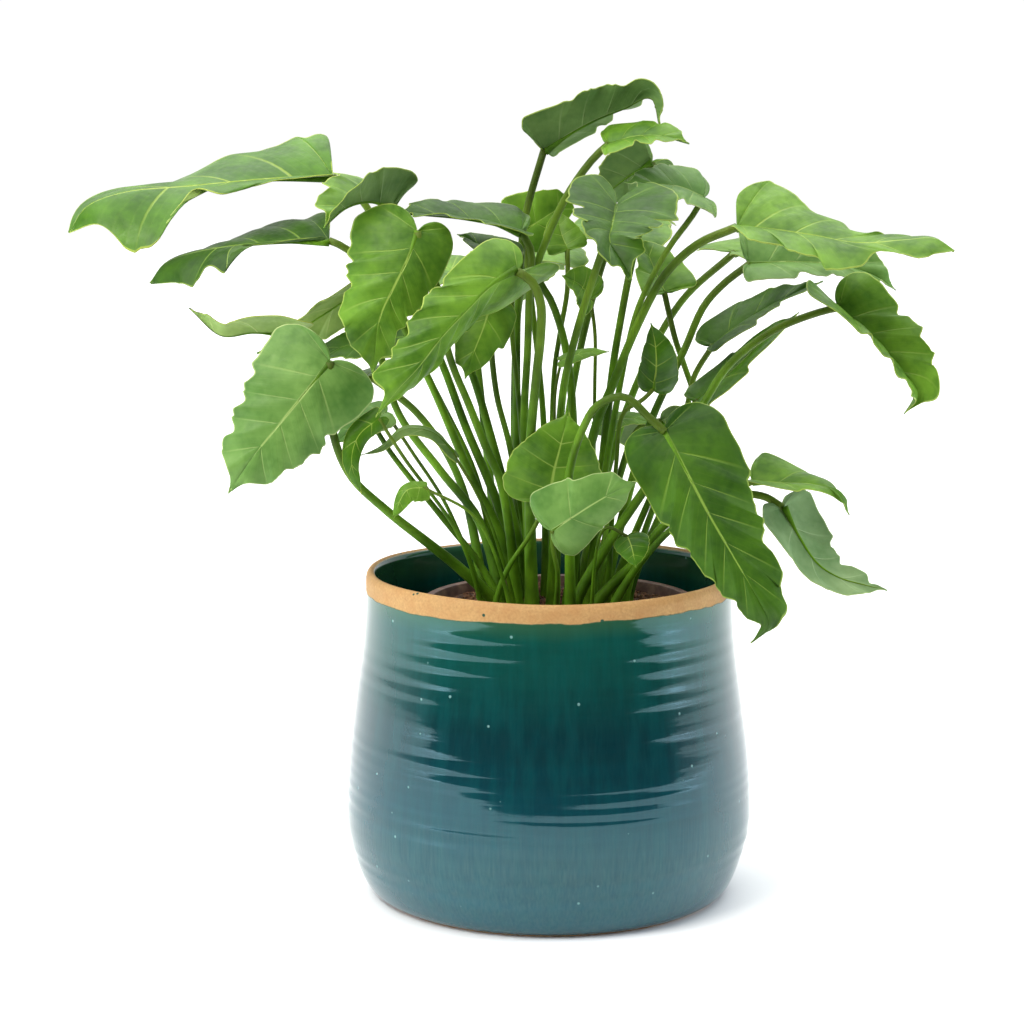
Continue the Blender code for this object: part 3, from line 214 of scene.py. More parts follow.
LEAVES = (
    Leaf("leaf_left_top", (-0.022, 0.022), ((-0.033, 0.265), (-0.058, 0.328), (-0.073, 0.369),
         (-0.104, 0.440), (-0.132, 0.487)), ((-0.147, 0.497, 0.042), (-0.190, 0.495, 0.036),
         (-0.240, 0.491, 0.026), (-0.290, 0.486, 0.016), (-0.315, 0.476, 0.010), (-0.326, 0.459, 0.006)),
         (-0.178, 0.493, -0.004), (-0.172, 0.527, 0.084), fall=60.0, taper=0.5, ear=(0.04, 0.02),
         drawn=(((0.02, 0.25), (0.15, 0.30), (0.30, 0.35), (0.42, 0.60), (0.50, 0.35), (0.60, 0.80),
         (0.68, 1.25), (0.78, 1.20), (0.88, 0.70)), ((0.02, 1.00), (0.08, 0.93), (0.12, 1.05), (0.20, 0.94),
         (0.35, 0.97), (0.50, 0.78), (0.62, 0.55), (0.68, 0.38), (0.80, 0.36), (0.90, 0.30)))),
    Leaf("leaf_left_upper", (-0.024, 0.008), ((-0.031, 0.245), (-0.055, 0.295), (-0.082, 0.358),
         (-0.118, 0.428), (-0.139, 0.449)), ((-0.150, 0.454, 0.010), (-0.195, 0.452, 0.004),
         (-0.240, 0.446, -0.002), (-0.262, 0.438, -0.006), (-0.272, 0.425, -0.008)),
         (-0.172, 0.450, -0.034), (-0.168, 0.473, 0.048), fall=50.0, taper=0.7, ear=(0.05, 0.03),
         drawn=(((0.10, 0.10), (0.30, 0.12), (0.50, 0.20), (0.58, 0.75), (0.66, 0.60), (0.78, 0.80),
         (0.90, 0.55)), ((0.00, 0.85), (0.10, 1.00), (0.25, 1.12), (0.40, 1.08), (0.60, 1.05), (0.75, 0.95),
         (0.88, 0.65)))),
    Leaf("leaf_left_small", (-0.034, -0.014), ((-0.047, 0.229), (-0.075, 0.265), (-0.108, 0.307, -0.012),
         (-0.125, 0.334, -0.014), (-0.155, 0.372, -0.006)), ((-0.182, 0.390, 0.010), (-0.203, 0.391, 0.008),
         (-0.224, 0.389, 0.006), (-0.246, 0.408, 0.002)), (-0.192, 0.402, -0.012), (-0.196, 0.392, 0.034),
         lobes=2, girth=0.7, ear=(0.3, 0.05)),
    Leaf("leaf_left_bright", (-0.034, 0.002), ((-0.048, 0.260), (-0.075, 0.296), (-0.104, 0.337, 0.050),
         (-0.116, 0.385, 0.066)), ((-0.112, 0.430, 0.070), (-0.140, 0.413, 0.076), (-0.168, 0.395, 0.082),
         (-0.200, 0.377, 0.086)), (-0.136, 0.424, 0.046), (-0.124, 0.396, 0.102), lobes=3, ear=(0.1, 0.1)),
    Leaf("leaf_left_shaded", (-0.034, 0.018), ((-0.050, 0.290), (-0.075, 0.345)), ((-0.098, 0.388, 0.034),
         (-0.120, 0.386, 0.036), (-0.145, 0.380, 0.038), (-0.166, 0.371, 0.038)), (-0.112, 0.372, 0.012),
         (-0.110, 0.399, 0.056), lobes=3, girth=0.8, ear=(0.1, 0.1)),
    Leaf("leaf_left_lower", (-0.034, -0.028), ((-0.061, 0.227), (-0.083, 0.245), (-0.113, 0.269),
         (-0.137, 0.293), (-0.149, 0.325)), ((-0.150, 0.371, -0.084), (-0.168, 0.349, -0.092),
         (-0.186, 0.327, -0.097), (-0.204, 0.305, -0.098), (-0.221, 0.280, -0.094)),
         (-0.126, 0.338, -0.078), (-0.196, 0.382, -0.074), girth=1.1, taper=0.55),
    Leaf("leaf_left_centre", (-0.022, -0.008), ((-0.033, 0.287), (-0.043, 0.311), (-0.056, 0.344),
         (-0.067, 0.371), (-0.081, 0.425)), ((-0.090, 0.460, -0.044), (-0.096, 0.442, -0.052),
         (-0.105, 0.424, -0.058), (-0.116, 0.400, -0.060), (-0.121, 0.362, -0.056)),
         (-0.066, 0.446, -0.038), (-0.140, 0.446, -0.038), ear=(0.1, 0.14)),
    Leaf("leaf_left_folded", (-0.012, -0.002), ((-0.041, 0.323), (-0.053, 0.363, 0.004),
         (-0.085, 0.440, 0.004)), ((-0.108, 0.476, 0.000), (-0.122, 0.480, -0.017), (-0.138, 0.476, -0.039),
         (-0.153, 0.463, -0.061)), (-0.098, 0.502, -0.015), (-0.146, 0.502, 0.001), lobes=3,
         ear=(0.1, 0.1)),
    Leaf("leaf_middle_dark", (-0.012, -0.018), ((-0.017, 0.306), (-0.017, 0.342), (-0.015, 0.378),
         (-0.014, 0.414), (-0.013, 0.448)), ((-0.020, 0.460, -0.020), (-0.037, 0.465, -0.022),
         (-0.060, 0.469, -0.026), (-0.084, 0.471, -0.030), (-0.105, 0.472, -0.034)),
         (-0.036, 0.463, -0.042), (-0.034, 0.478, 0.022), lobes=3),
    Leaf("leaf_middle_front", (-0.012, -0.034), ((-0.013, 0.312), (-0.009, 0.360), (-0.006, 0.390),
         (-0.006, 0.411), (-0.012, 0.426)), ((-0.022, 0.433, -0.076), (-0.040, 0.423, -0.088),
         (-0.056, 0.407, -0.098), (-0.074, 0.388, -0.105), (-0.090, 0.367, -0.109), (-0.104, 0.352, -0.110),
         (-0.119, 0.333, -0.106)), (-0.032, 0.412, -0.046), (-0.057, 0.446, -0.076), lobes=5, girth=1.2,
         ear=(0.26, 0.08), taper=0.4),
    Leaf("leaf_middle_inner", (-0.010, 0.012), ((-0.027, 0.312), (-0.036, 0.348), (-0.040, 0.385)),
         ((-0.040, 0.412, -0.014), (-0.045, 0.395, -0.024), (-0.052, 0.377, -0.030),
         (-0.058, 0.359, -0.032)), (-0.024, 0.398, -0.008), (-0.066, 0.402, -0.014), lobes=2, girth=0.8,
         ear=(0.1, 0.1)),
    Leaf("leaf_top", (-0.020, 0.036), ((-0.022, 0.300), (-0.022, 0.400), (-0.019, 0.450), (-0.018, 0.463),
         (-0.014, 0.481)), ((-0.004, 0.515, 0.043), (0.010, 0.524, 0.041), (0.030, 0.535, 0.038),
         (0.050, 0.543, 0.035), (0.068, 0.550, 0.032), (0.074, 0.530, 0.028)), (0.022, 0.522, 0.080),
         (0.004, 0.549, 0.016), ear=(0.02, 0.02)),
    Leaf("leaf_top_small", (0.016, 0.020), ((0.016, 0.336), (0.011, 0.381), (0.002, 0.411), (-0.009, 0.432),
         (-0.004, 0.450), (0.012, 0.485), (0.030, 0.510)), ((0.040, 0.519, 0.004), (0.058, 0.524, 0.002),
         (0.076, 0.524, -0.002), (0.094, 0.519, -0.006)), (0.048, 0.533, 0.028), (0.050, 0.514, -0.022),
         lobes=3),
    Leaf("leaf_top_under", (0.030, 0.024), ((0.043, 0.364), (0.048, 0.397), (0.056, 0.440), (0.068, 0.490)),
         ((0.069, 0.507, 0.036), (0.053, 0.497, 0.038), (0.040, 0.487, 0.040), (0.030, 0.478, 0.042)),
         (0.044, 0.520, 0.026), (0.074, 0.484, 0.064), lobes=3, ear=(0.08, 0.2)),
    Leaf("leaf_centre", (0.002, -0.022), ((0.009, 0.348), (0.015, 0.378), (0.025, 0.414), (0.040, 0.460)),
         ((0.045, 0.477, -0.060), (0.042, 0.463, -0.090), (0.041, 0.452, -0.112), (0.056, 0.427, -0.128)),
         (0.088, 0.480, -0.070), (0.012, 0.488, -0.070), cut=0.26, ear=(0.28, 0.28)),
    Leaf("leaf_twisted", (0.026, -0.008), ((0.044, 0.330), (0.057, 0.397), (0.064, 0.417), (0.081, 0.449),
         (0.097, 0.471)), ((0.104, 0.483, 0.014), (0.088, 0.490, 0.006), (0.070, 0.492, 0.000),
         (0.050, 0.493, -0.004)), (0.098, 0.476, -0.016), (0.096, 0.502, 0.034), lobes=3, girth=0.8),
    Leaf("leaf_right_upper", (0.014, -0.006), ((0.030, 0.320), (0.044, 0.357), (0.059, 0.394),
         (0.078, 0.430), (0.100, 0.451)), ((0.127, 0.463, -0.031), (0.150, 0.461, -0.036),
         (0.180, 0.457, -0.042), (0.210, 0.452, -0.048), (0.240, 0.454, -0.054), (0.262, 0.455, -0.058),
         (0.275, 0.447, -0.060)), (0.146, 0.496, 0.006), (0.152, 0.458, -0.072), lobes=5, girth=1.1,
         fall=60.0, ear=(0.05, 0.05), drawn=(((-0.02, 0.55), (0.06, 0.90), (0.12, 1.05), (0.20, 0.92),
         (0.32, 0.72), (0.42, 0.78), (0.52, 0.60), (0.62, 0.42), (0.68, 0.50), (0.78, 0.75), (0.86, 0.80),
         (0.94, 0.50)), ((0.00, 0.55), (0.10, 0.90), (0.22, 0.80), (0.27, 0.98), (0.40, 0.80), (0.46, 1.00),
         (0.58, 0.62), (0.64, 0.30), (0.74, 0.45), (0.86, 0.55), (0.94, 0.35)))),
    Leaf("leaf_right_middle", (0.038, -0.004), ((0.060, 0.300), (0.072, 0.336), (0.092, 0.379),
         (0.105, 0.409), (0.118, 0.424)), ((0.136, 0.438, 0.030), (0.165, 0.439, 0.030),
         (0.198, 0.437, 0.028), (0.220, 0.430, 0.026), (0.236, 0.420, 0.026)), (0.158, 0.473, 0.064),
         (0.152, 0.426, 0.008), ear=(0.05, 0.05), taper=0.75, cut=0.2),
    Leaf("leaf_right_inner", (0.056, 0.022), ((0.096, 0.315, 0.052), (0.100, 0.342, 0.060),
         (0.092, 0.369, 0.062), (0.086, 0.386, 0.060)), ((0.078, 0.419, 0.050), (0.072, 0.432, 0.062),
         (0.066, 0.445, 0.072), (0.058, 0.454, 0.080)), (0.058, 0.428, 0.052), (0.098, 0.430, 0.060),
         lobes=2, girth=0.8),
    Leaf("leaf_right_drooping", (0.016, -0.032), ((0.043, 0.248, -0.034), (0.062, 0.277, -0.034),
         (0.103, 0.338, -0.028), (0.122, 0.368, -0.020), (0.152, 0.392, -0.010), (0.184, 0.405, -0.002)),
         ((0.197, 0.408, 0.000), (0.214, 0.394, -0.008), (0.229, 0.379, -0.014), (0.241, 0.364, -0.018),
         (0.250, 0.349, -0.020), (0.243, 0.335, -0.020)), (0.228, 0.423, 0.004), (0.202, 0.397, -0.040),
         ear=(0.12, 0.26), taper=0.45),
    Leaf("leaf_right_grey", (0.046, 0.034), ((0.093, 0.335), (0.099, 0.361)), ((0.112, 0.383, 0.055),
         (0.130, 0.397, 0.058), (0.152, 0.410, 0.060), (0.186, 0.426, 0.064)), (0.108, 0.398, 0.078),
         (0.122, 0.384, 0.032), lobes=3, girth=0.8),
    Leaf("leaf_right_rising", (0.052, -0.006), ((0.070, 0.265), (0.088, 0.310)), ((0.102, 0.345, 0.022),
         (0.122, 0.362, 0.026), (0.145, 0.384, 0.030), (0.170, 0.405, 0.034)), (0.106, 0.362, 0.040),
         (0.122, 0.350, 0.006), lobes=2, girth=0.8, ear=(0.05, 0.05)),
    Leaf("leaf_cupped", (0.040, -0.020), ((0.046, 0.300), (0.051, 0.336), (0.064, 0.345)),
         ((0.071, 0.352, -0.015), (0.073, 0.368, -0.020), (0.072, 0.384, -0.020), (0.069, 0.398, -0.014)),
         (0.060, 0.360, -0.004), (0.088, 0.362, -0.008), lobes=0, girth=0.6),
    Leaf("leaf_front_hanging", (0.014, -0.046), ((0.014, 0.260, -0.062), (0.014, 0.295, -0.076),
         (0.023, 0.325, -0.086), (0.033, 0.341, -0.092), (0.051, 0.347, -0.095), (0.069, 0.332, -0.095)),
         ((0.079, 0.323, -0.095), (0.090, 0.303, -0.104), (0.109, 0.267, -0.116), (0.127, 0.236, -0.124),
         (0.145, 0.205, -0.130), (0.152, 0.188, -0.128), (0.140, 0.175, -0.122)), (0.127, 0.318, -0.086),
         (0.058, 0.292, -0.092), lobes=5, ear=(0.07, 0.07), taper=0.66),
    Leaf("leaf_right_strap", (0.042, -0.040), ((0.070, 0.240), (0.110, 0.275)), ((0.140, 0.288, -0.050),
         (0.160, 0.287, -0.056), (0.182, 0.286, -0.062), (0.197, 0.281, -0.066), (0.207, 0.265, -0.066)),
         (0.151, 0.308, -0.026), (0.155, 0.286, -0.074), lobes=2, girth=0.8, fall=40.0, taper=0.9,
         ear=(0.05, 0.05)),
    Leaf("leaf_right_lower", (0.030, -0.030), ((0.045, 0.217), (0.059, 0.231), (0.081, 0.259),
         (0.120, 0.278), (0.147, 0.278)), ((0.161, 0.270, -0.045), (0.172, 0.250, -0.050),
         (0.185, 0.231, -0.054), (0.200, 0.221, -0.057), (0.217, 0.216, -0.058), (0.234, 0.212, -0.058)),
         (0.156, 0.249, -0.070), (0.187, 0.268, -0.028), lobes=3),
    Leaf("leaf_front_upright", (-0.038, -0.044), ((-0.030, 0.224), (-0.012, 0.253)),
         ((0.000, 0.277, -0.056), (0.003, 0.295, -0.060), (0.008, 0.315, -0.062), (0.013, 0.337, -0.060)),
         (-0.031, 0.298, -0.054), (0.040, 0.301, -0.054), lobes=0, girth=0.6),
    Leaf("leaf_front_low", (0.004, -0.058), ((0.006, 0.224), (0.003, 0.240)), ((0.002, 0.254, -0.105),
         (0.017, 0.264, -0.108), (0.031, 0.273, -0.110), (0.045, 0.281, -0.110), (0.060, 0.288, -0.106)),
         (0.006, 0.292, -0.100), (0.024, 0.241, -0.098), lobes=2, cut=0.06, girth=0.6),
    Leaf("leaf_front_tiny", (0.028, -0.050), ((0.039, 0.256, -0.080),), ((0.054, 0.250, -0.085),
         (0.057, 0.242, -0.092), (0.060, 0.228, -0.096)), (0.069, 0.248, -0.084), (0.046, 0.240, -0.086),
         lobes=0, girth=0.4),
    Leaf("leaf_strap_left", (-0.046, -0.036), ((-0.062, 0.250, -0.056), (-0.100, 0.305, -0.070)),
         ((-0.117, 0.332, -0.076), (-0.131, 0.320, -0.080), (-0.136, 0.302, -0.082),
         (-0.129, 0.279, -0.078)), (-0.118, 0.322, -0.076), (-0.134, 0.330, -0.076), lobes=0, girth=0.5),
    Leaf("leaf_strap_thin", (-0.024, -0.022), ((-0.044, 0.268),), ((-0.066, 0.308, -0.050),
         (-0.080, 0.322, -0.054), (-0.100, 0.324, -0.058), (-0.115, 0.312, -0.060),
         (-0.131, 0.306, -0.060)), (-0.073, 0.319, -0.046), (-0.076, 0.313, -0.058), lobes=0, girth=0.4),
    Leaf("leaf_left_low_grey", (-0.046, -0.010), ((-0.070, 0.270), (-0.095, 0.310)),
         ((-0.112, 0.336, -0.040), (-0.128, 0.329, -0.044), (-0.148, 0.314, -0.048)),
         (-0.116, 0.322, -0.054), (-0.124, 0.342, -0.028), lobes=0, girth=0.5),
    Leaf("leaf_draped", (-0.026, -0.054), ((-0.050, 0.262),), ((-0.086, 0.284, -0.078),
         (-0.098, 0.282, -0.082), (-0.108, 0.262, -0.084)), (-0.086, 0.274, -0.080),
         (-0.098, 0.288, -0.076), lobes=0, girth=0.4),
    Leaf("leaf_inner_sliver", (0.002, 0.000), ((0.004, 0.300), (0.004, 0.350)), ((0.008, 0.372, -0.010),
         (0.024, 0.377, -0.012), (0.041, 0.378, -0.012)), (0.012, 0.377, -0.004), (0.014, 0.369, -0.016),
         lobes=0, girth=0.4),
    Leaf("leaf_inner_top", (-0.002, 0.030), ((-0.004, 0.330), (-0.012, 0.410)), ((-0.018, 0.460, 0.060),
         (-0.006, 0.468, 0.064), (0.006, 0.476, 0.068), (0.016, 0.486, 0.072)), (-0.024, 0.488, 0.066),
         (0.010, 0.458, 0.066), lobes=2, girth=0.8),
    Leaf("leaf_inner_green", (0.002, 0.014), ((0.003, 0.360), (0.007, 0.390), (0.012, 0.420)),
         ((0.012, 0.448, 0.040), (0.008, 0.458, 0.046), (0.004, 0.474, 0.054)), (-0.008, 0.460, 0.044),
         (0.022, 0.462, 0.048), lobes=0, girth=0.7),
    Leaf("leaf_inner_curled", (0.030, 0.008), ((0.031, 0.354), (0.031, 0.390)), ((0.028, 0.414, 0.014),
         (0.020, 0.424, 0.010), (0.008, 0.430, 0.004)), (0.018, 0.410, -0.004), (0.034, 0.430, 0.022),
         lobes=0, girth=0.5),
    Leaf("leaf_inner_grey", (-0.010, 0.026), ((-0.021, 0.345), (-0.026, 0.400)), ((-0.024, 0.440, 0.014),
         (-0.038, 0.447, 0.014), (-0.050, 0.452, 0.016), (-0.063, 0.458, 0.018)), (-0.036, 0.436, -0.004),
         (-0.030, 0.456, 0.030), lobes=2, girth=0.7),
    Leaf("leaf_inner_low", (0.020, 0.036), ((0.024, 0.290),), ((0.034, 0.326, 0.044), (0.052, 0.332, 0.046),
         (0.072, 0.328, 0.046)), (0.038, 0.334, 0.058), (0.042, 0.322, 0.036), lobes=0, girth=0.5),
    Leaf("leaf_back_left", (-0.034, 0.034), ((-0.045, 0.330), (-0.052, 0.390)), ((-0.060, 0.430, 0.110),
         (-0.080, 0.438, 0.140), (-0.100, 0.430, 0.168), (-0.118, 0.410, 0.190)), (-0.106, 0.434, 0.112),
         (-0.054, 0.442, 0.142), ear=(0.15, 0.15)),
    Leaf("leaf_back_middle", (-0.020, 0.052), ((-0.024, 0.330), (-0.022, 0.400)), ((-0.016, 0.442, 0.116),
         (-0.016, 0.450, 0.150), (-0.016, 0.440, 0.190), (-0.018, 0.414, 0.222)), (-0.054, 0.444, 0.138),
         (0.026, 0.444, 0.140), ear=(0.15, 0.15)),
    Leaf("leaf_back_upper", (0.004, 0.048), ((0.014, 0.340), (0.028, 0.410)), ((0.042, 0.458, 0.100),
         (0.050, 0.470, 0.130), (0.058, 0.466, 0.166), (0.064, 0.446, 0.196)), (0.018, 0.468, 0.128),
         (0.088, 0.464, 0.118), ear=(0.15, 0.15)),
    Leaf("leaf_back_low_right", (0.036, 0.044), ((0.048, 0.290), (0.062, 0.325)), ((0.076, 0.330, 0.096),
         (0.092, 0.312, 0.124), (0.106, 0.286, 0.142), (0.118, 0.256, 0.150)), (0.056, 0.306, 0.132),
         (0.120, 0.320, 0.090), ear=(0.15, 0.15)),
    Leaf("leaf_back_low_left", (-0.046, 0.024), ((-0.062, 0.290), (-0.090, 0.335)), ((-0.124, 0.362, 0.092),
         (-0.146, 0.356, 0.116), (-0.168, 0.338, 0.134), (-0.186, 0.312, 0.142)), (-0.148, 0.346, 0.070),
         (-0.124, 0.366, 0.142), ear=(0.15, 0.15)),
    Leaf("leaf_back_right", (0.024, 0.056), ((0.050, 0.330), (0.088, 0.410)), ((0.126, 0.446, 0.112),
         (0.150, 0.452, 0.132), (0.176, 0.450, 0.150), (0.204, 0.438, 0.162)), (0.128, 0.456, 0.162),
         (0.160, 0.446, 0.096), ear=(0.15, 0.15)),
)


def place(point):
    """Space point of a reading across, up and depth along the line to the eye."""
    across, up, depth = point
    share = (EYE_BACK + depth) / EYE_BACK
    return Vector((EYE_ACROSS + (across - EYE_ACROSS) * share, depth, EYE_UP - (EYE_UP - up) * share))


def front(point):
    """Across and up of a space point on the front elevation."""
    share = EYE_BACK / (EYE_BACK + point.y)
    return EYE_ACROSS + (point.x - EYE_ACROSS) * share, EYE_UP - (EYE_UP - point.z) * share


def eased(gap, run):
    """The gap as a share of the run, kept between 0 and 1."""
    return min(max(gap / run, 0.0), 1.0)


def smooth(points, steps):
    """Smooth line through the points, with so many steps from each to the next."""
    ends = [2 * points[0] - points[1], *points, 2 * points[-1] - points[-2]]
    line = [points[0].copy()]
    for before, start, end, after in zip(ends, ends[1:], ends[2:], ends[3:]):
        first, middle, last = [max(math.sqrt((b - a).length), 1e-6) for a, b in
                               ((before, start), (start, end), (end, after))]
        leave = ((start - before) / first - (end - before) / (first + middle)
                 + (end - start) / middle) * middle
        reach = ((end - start) / middle - (after - start) / (middle + last)
                 + (after - end) / last) * middle
        for step in range(1, steps + 1):
            t = step / steps
            line.append(
                start * (2 * t**3 - 3 * t**2 + 1) + leave * (t**3 - 2 * t**2 + t)
                + end * (3 * t**2 - 2 * t**3) + reach * (t**3 - t**2)
            )
    return line


def walk(line, count):
    """The line again, as so many points evenly spaced along it."""
    run = [0.0]
    for a, b in zip(line, line[1:]):
        run.append(run[-1] + (b - a).length)
    points = []
    i = 0
    for k in range(count):
        goal = run[-1] * k / (count - 1)
        while i < len(run) - 2 and run[i + 1] < goal:
            i += 1
        points.append(line[i].lerp(line[i + 1], (goal - run[i]) / (run[i + 1] - run[i])))
    return points


def aims(points):
    """Direction of the line at each of its points."""
    ends = [points[0], *points, points[-1]]
    return [(b - a).normalized() for a, b in zip(ends, ends[2:])]


def carried(direction, tangents):
    """The direction carried along the tangents without roll, square to each of them."""
    found = []
    for tangent in tangents:
        direction = (direction - tangent * direction.dot(tangent)).normalized()
        found.append(direction.copy())
    return found


class Form:
    """A leaf's blade in space: its spine, and which way each side leaves it."""

    def __init__(self, leaf):
        self.leaf = leaf
        self.spine = walk(smooth([place(p) for p in leaf.rib], 16), FORMS)
        self.length = sum((b - a).length for a, b in zip(self.spine, self.spine[1:]))
        self.tangents = aims(self.spine)
        self.sides = []
        self.widths = []
        start = round(WIDEST * (FORMS - 1))
        for side, widest in ((LEFT, leaf.left), (RIGHT, leaf.right)):
            tangent = self.tangents[start]
            chord = place(widest) - self.spine[start]
            chord -= tangent * chord.dot(tangent)
            half = math.radians(leaf.droop) / 2
            self.widths.append(chord.length * half / math.sin(half))
            up = self.upward(side, tangent, chord.normalized())
            direction = chord.normalized() * math.cos(half) + up * math.sin(half)
            back = carried(direction, self.tangents[start::-1])[::-1]
            self.sides.append(back[:-1] + carried(direction, self.tangents[start:]))

    @staticmethod
    def upward(side, tangent, direction):
        """The way that the upper face looks on this side."""
        return tangent.cross(direction) if side == LEFT else direction.cross(tangent)

    def point(self, side, along, across, rise):
        """Point of the blade: shares of its length and half width, and a rise in metres."""
        station = min(max(along, 0.0), 1.0) * (FORMS - 1)
        i = min(int(station), FORMS - 2)
        part = station - i
        spot = self.spine[i].lerp(self.spine[i + 1], part)
        tangent = self.tangents[i].lerp(self.tangents[i + 1], part).normalized()
        direction = self.sides[side][i].lerp(self.sides[side][i + 1], part).normalized()
        sink = math.radians(self.leaf.fall * max(along, 0.0))
        direction.rotate(Matrix.Rotation(-sink if side == LEFT else sink, 3, tangent))
        up = self.upward(side, tangent, direction)
        width = self.widths[side]
        bend = math.radians(self.leaf.droop) / width
        turn = bend * across * width
        spot = spot + direction * (math.sin(turn) / bend) + up * (rise - (1 - math.cos(turn)) / bend)
        return spot + tangent * (min(along, 0.0) * self.length)


def envelope(leaf, along):
    """Half width of the blade beside the widest, before its lobes are cut."""
    return 1.0 - leaf.taper * (max(along - TAPER_FROM, 0.0) / TAPER_RUN) ** TAPER_POWER


def margin(leaf, side):
    """Margin of one side: root of its vein, along, across, lift and number of the vein."""
    draw = random.Random(leaf.name + "lr"[side])
    if leaf.drawn[side]:
        return outlined(leaf.drawn[side], draw, leaf.lobes)
    ear = leaf.ear[side] * draw.uniform(0.9, 1.1)
    points = [
        (0.0, 0.0, 0.0, 0.0, -1.0),
        (0.0, -0.60 * ear, 0.13, 0.0, -0.6),
        (0.0, -1.00 * ear, 0.46, 0.4, -0.2),
        (0.0, -0.60 * ear, 0.86, -0.5, 0.2),
    ]
    if leaf.lobes == 0:
        points += [
            (0.04, 0.10, 1.00, 0.3, 0.7),
            (0.25, 0.38, 0.90, -0.3, 1.6),
            (0.50, 0.64, 0.64, 0.3, 2.5),
            (0.74, 0.84, 0.32, -0.2, 3.4),
        ]
    else:
        points.append((0.0, 0.04, 1.00, 0.6, 0.5))
    for lobe in range(leaf.lobes):
        pitch = LOBED / max(leaf.lobes - 0.5, 1)
        crest = LAST_CREST - pitch * (leaf.lobes - 1 - lobe)
        root = max(crest - VEIN_LEAD, 0.0)
        shift = draw.uniform(-0.03, 0.03)
        cut = leaf.cut * draw.uniform(0.3, 1.7)
        heave = draw.uniform(-0.7, 0.7)
        points.append((root, crest + shift, envelope(leaf, crest) * draw.uniform(0.88, 1.06),
                       heave - 0.3, lobe + 1.0))
        if lobe < leaf.lobes - 1:
            notch = crest + NOTCH_REACH
            points.append((root, notch + shift, envelope(leaf, notch) * (1 - cut), heave + 0.3, lobe + 1.25))
            belly = crest + BELLY * pitch
            points.append((max(belly - VEIN_LEAD, 0.0), belly, envelope(leaf, belly) * (1 - cut / 6),
                           heave / 2, lobe + 1.6))
        else:
            points.append((root, 0.875, 0.20, 0.6, lobe + 1.3))
    points.append((0.86, 0.93, 0.08, 0.0, points[-1][4] + 0.4))
    points.append((1.0, 1.0, 0.0, 0.0, points[-1][4] + 0.4))
    return points


def outlined(outline, draw, lobes):
    """Margin through the given points, its veins leaving the midrib behind them."""
    points = [(0.0, 0.0, 0.0, 0.0, -0.2)]
    for along, across in outline:
        root = max(points[-1][0], min(along - VEIN_LEAD, LAST_CREST))
        points.append((root, along, across, draw.uniform(-1.0, 1.0), 0.5 + along * (lobes + 0.5)))
    points.append((1.0, 1.0, 0.0, 0.0, lobes + 1.0))
    return points


MARGIN_WEIGHTS = (1.0, 1.0, 1.0, 0.08, 0.10)  # how much each number counts in the smoothing


def fine_margin(leaf, side):
    """The margin as many columns, smoothed between the points that shape it."""
    weighed = [Vector([a * w for a, w in zip(point, MARGIN_WEIGHTS)]) for point in margin(leaf, side)]
    columns = [[a / w for a, w in zip(point, MARGIN_WEIGHTS)] for point in smooth(weighed, MARGIN_STEPS)]
    seed = sum(leaf.name.encode()) + 50 * side
    for column in columns:
        vein = column[4]
        off_crest = abs(vein - round(vein))
        hook = HOOK * max(1.0 - off_crest / HOOK_WIDTH, 0.0) if leaf.lobes and vein > 0.5 else 0.0
        frill = FRILL * noise.noise(Vector((vein * 5.0, 0.3, seed)))
        column[2] *= 1.0 + hook + frill
    return columns


def bent_grid(columns, rows, spot, skin):
    """A grid of faces; spot(column, row) gives each corner's place and its place in the pattern."""
    bm = bmesh.new()
    bmesh.ops.create_grid(bm, x_segments=columns - 1, y_segments=rows - 1, size=0.5)
    layer = bm.loops.layers.uv.new("surface")
    pattern = {}
    for vert in bm.verts:
        column = round((vert.co.x + 0.5) * (columns - 1))
        row = round((vert.co.y + 0.5) * (rows - 1))
        vert.co, pattern[vert] = spot(column, row)
    for face in bm.faces:
        face.smooth = True
        face.material_index = skin
        for loop in face.loops:
            loop[layer].uv = pattern[loop.vert]
    bmesh.ops.remove_doubles(bm, verts=bm.verts, dist=MERGE)
    return bm


def blade_side(form, side, look):
    """One side of the blade, quilted between its veins and rippled towards its margin."""
    leaf = form.leaf
    columns = fine_margin(leaf, side)
    width = form.widths[side]
    quilt = look.quilting * min(width / BROAD, 1.0)
    ripple = look.ripple * min(width / BROAD, 1.0)
    seed = sum(leaf.name.encode()) + 50 * side

    def spot(column, row):
        root, along, across, lift, vein = columns[column]
        share = SHARES[row]
        puff = math.sin(math.pi * vein) ** 2 * 4 * share * (1 - share)
        wave = noise.noise(Vector((vein * 1.9, share * 1.5, seed))) * share**2
        rise = lift * leaf.wave * width * share**3 + quilt * puff + ripple * wave
        point = form.point(side, root + (along - root) * share, across * share, rise)
        return point, (vein, share)

    bm = bent_grid(len(columns), len(SHARES), spot, UPPER)
    if side == RIGHT:
        bmesh.ops.reverse_faces(bm, faces=bm.faces)
    return bm


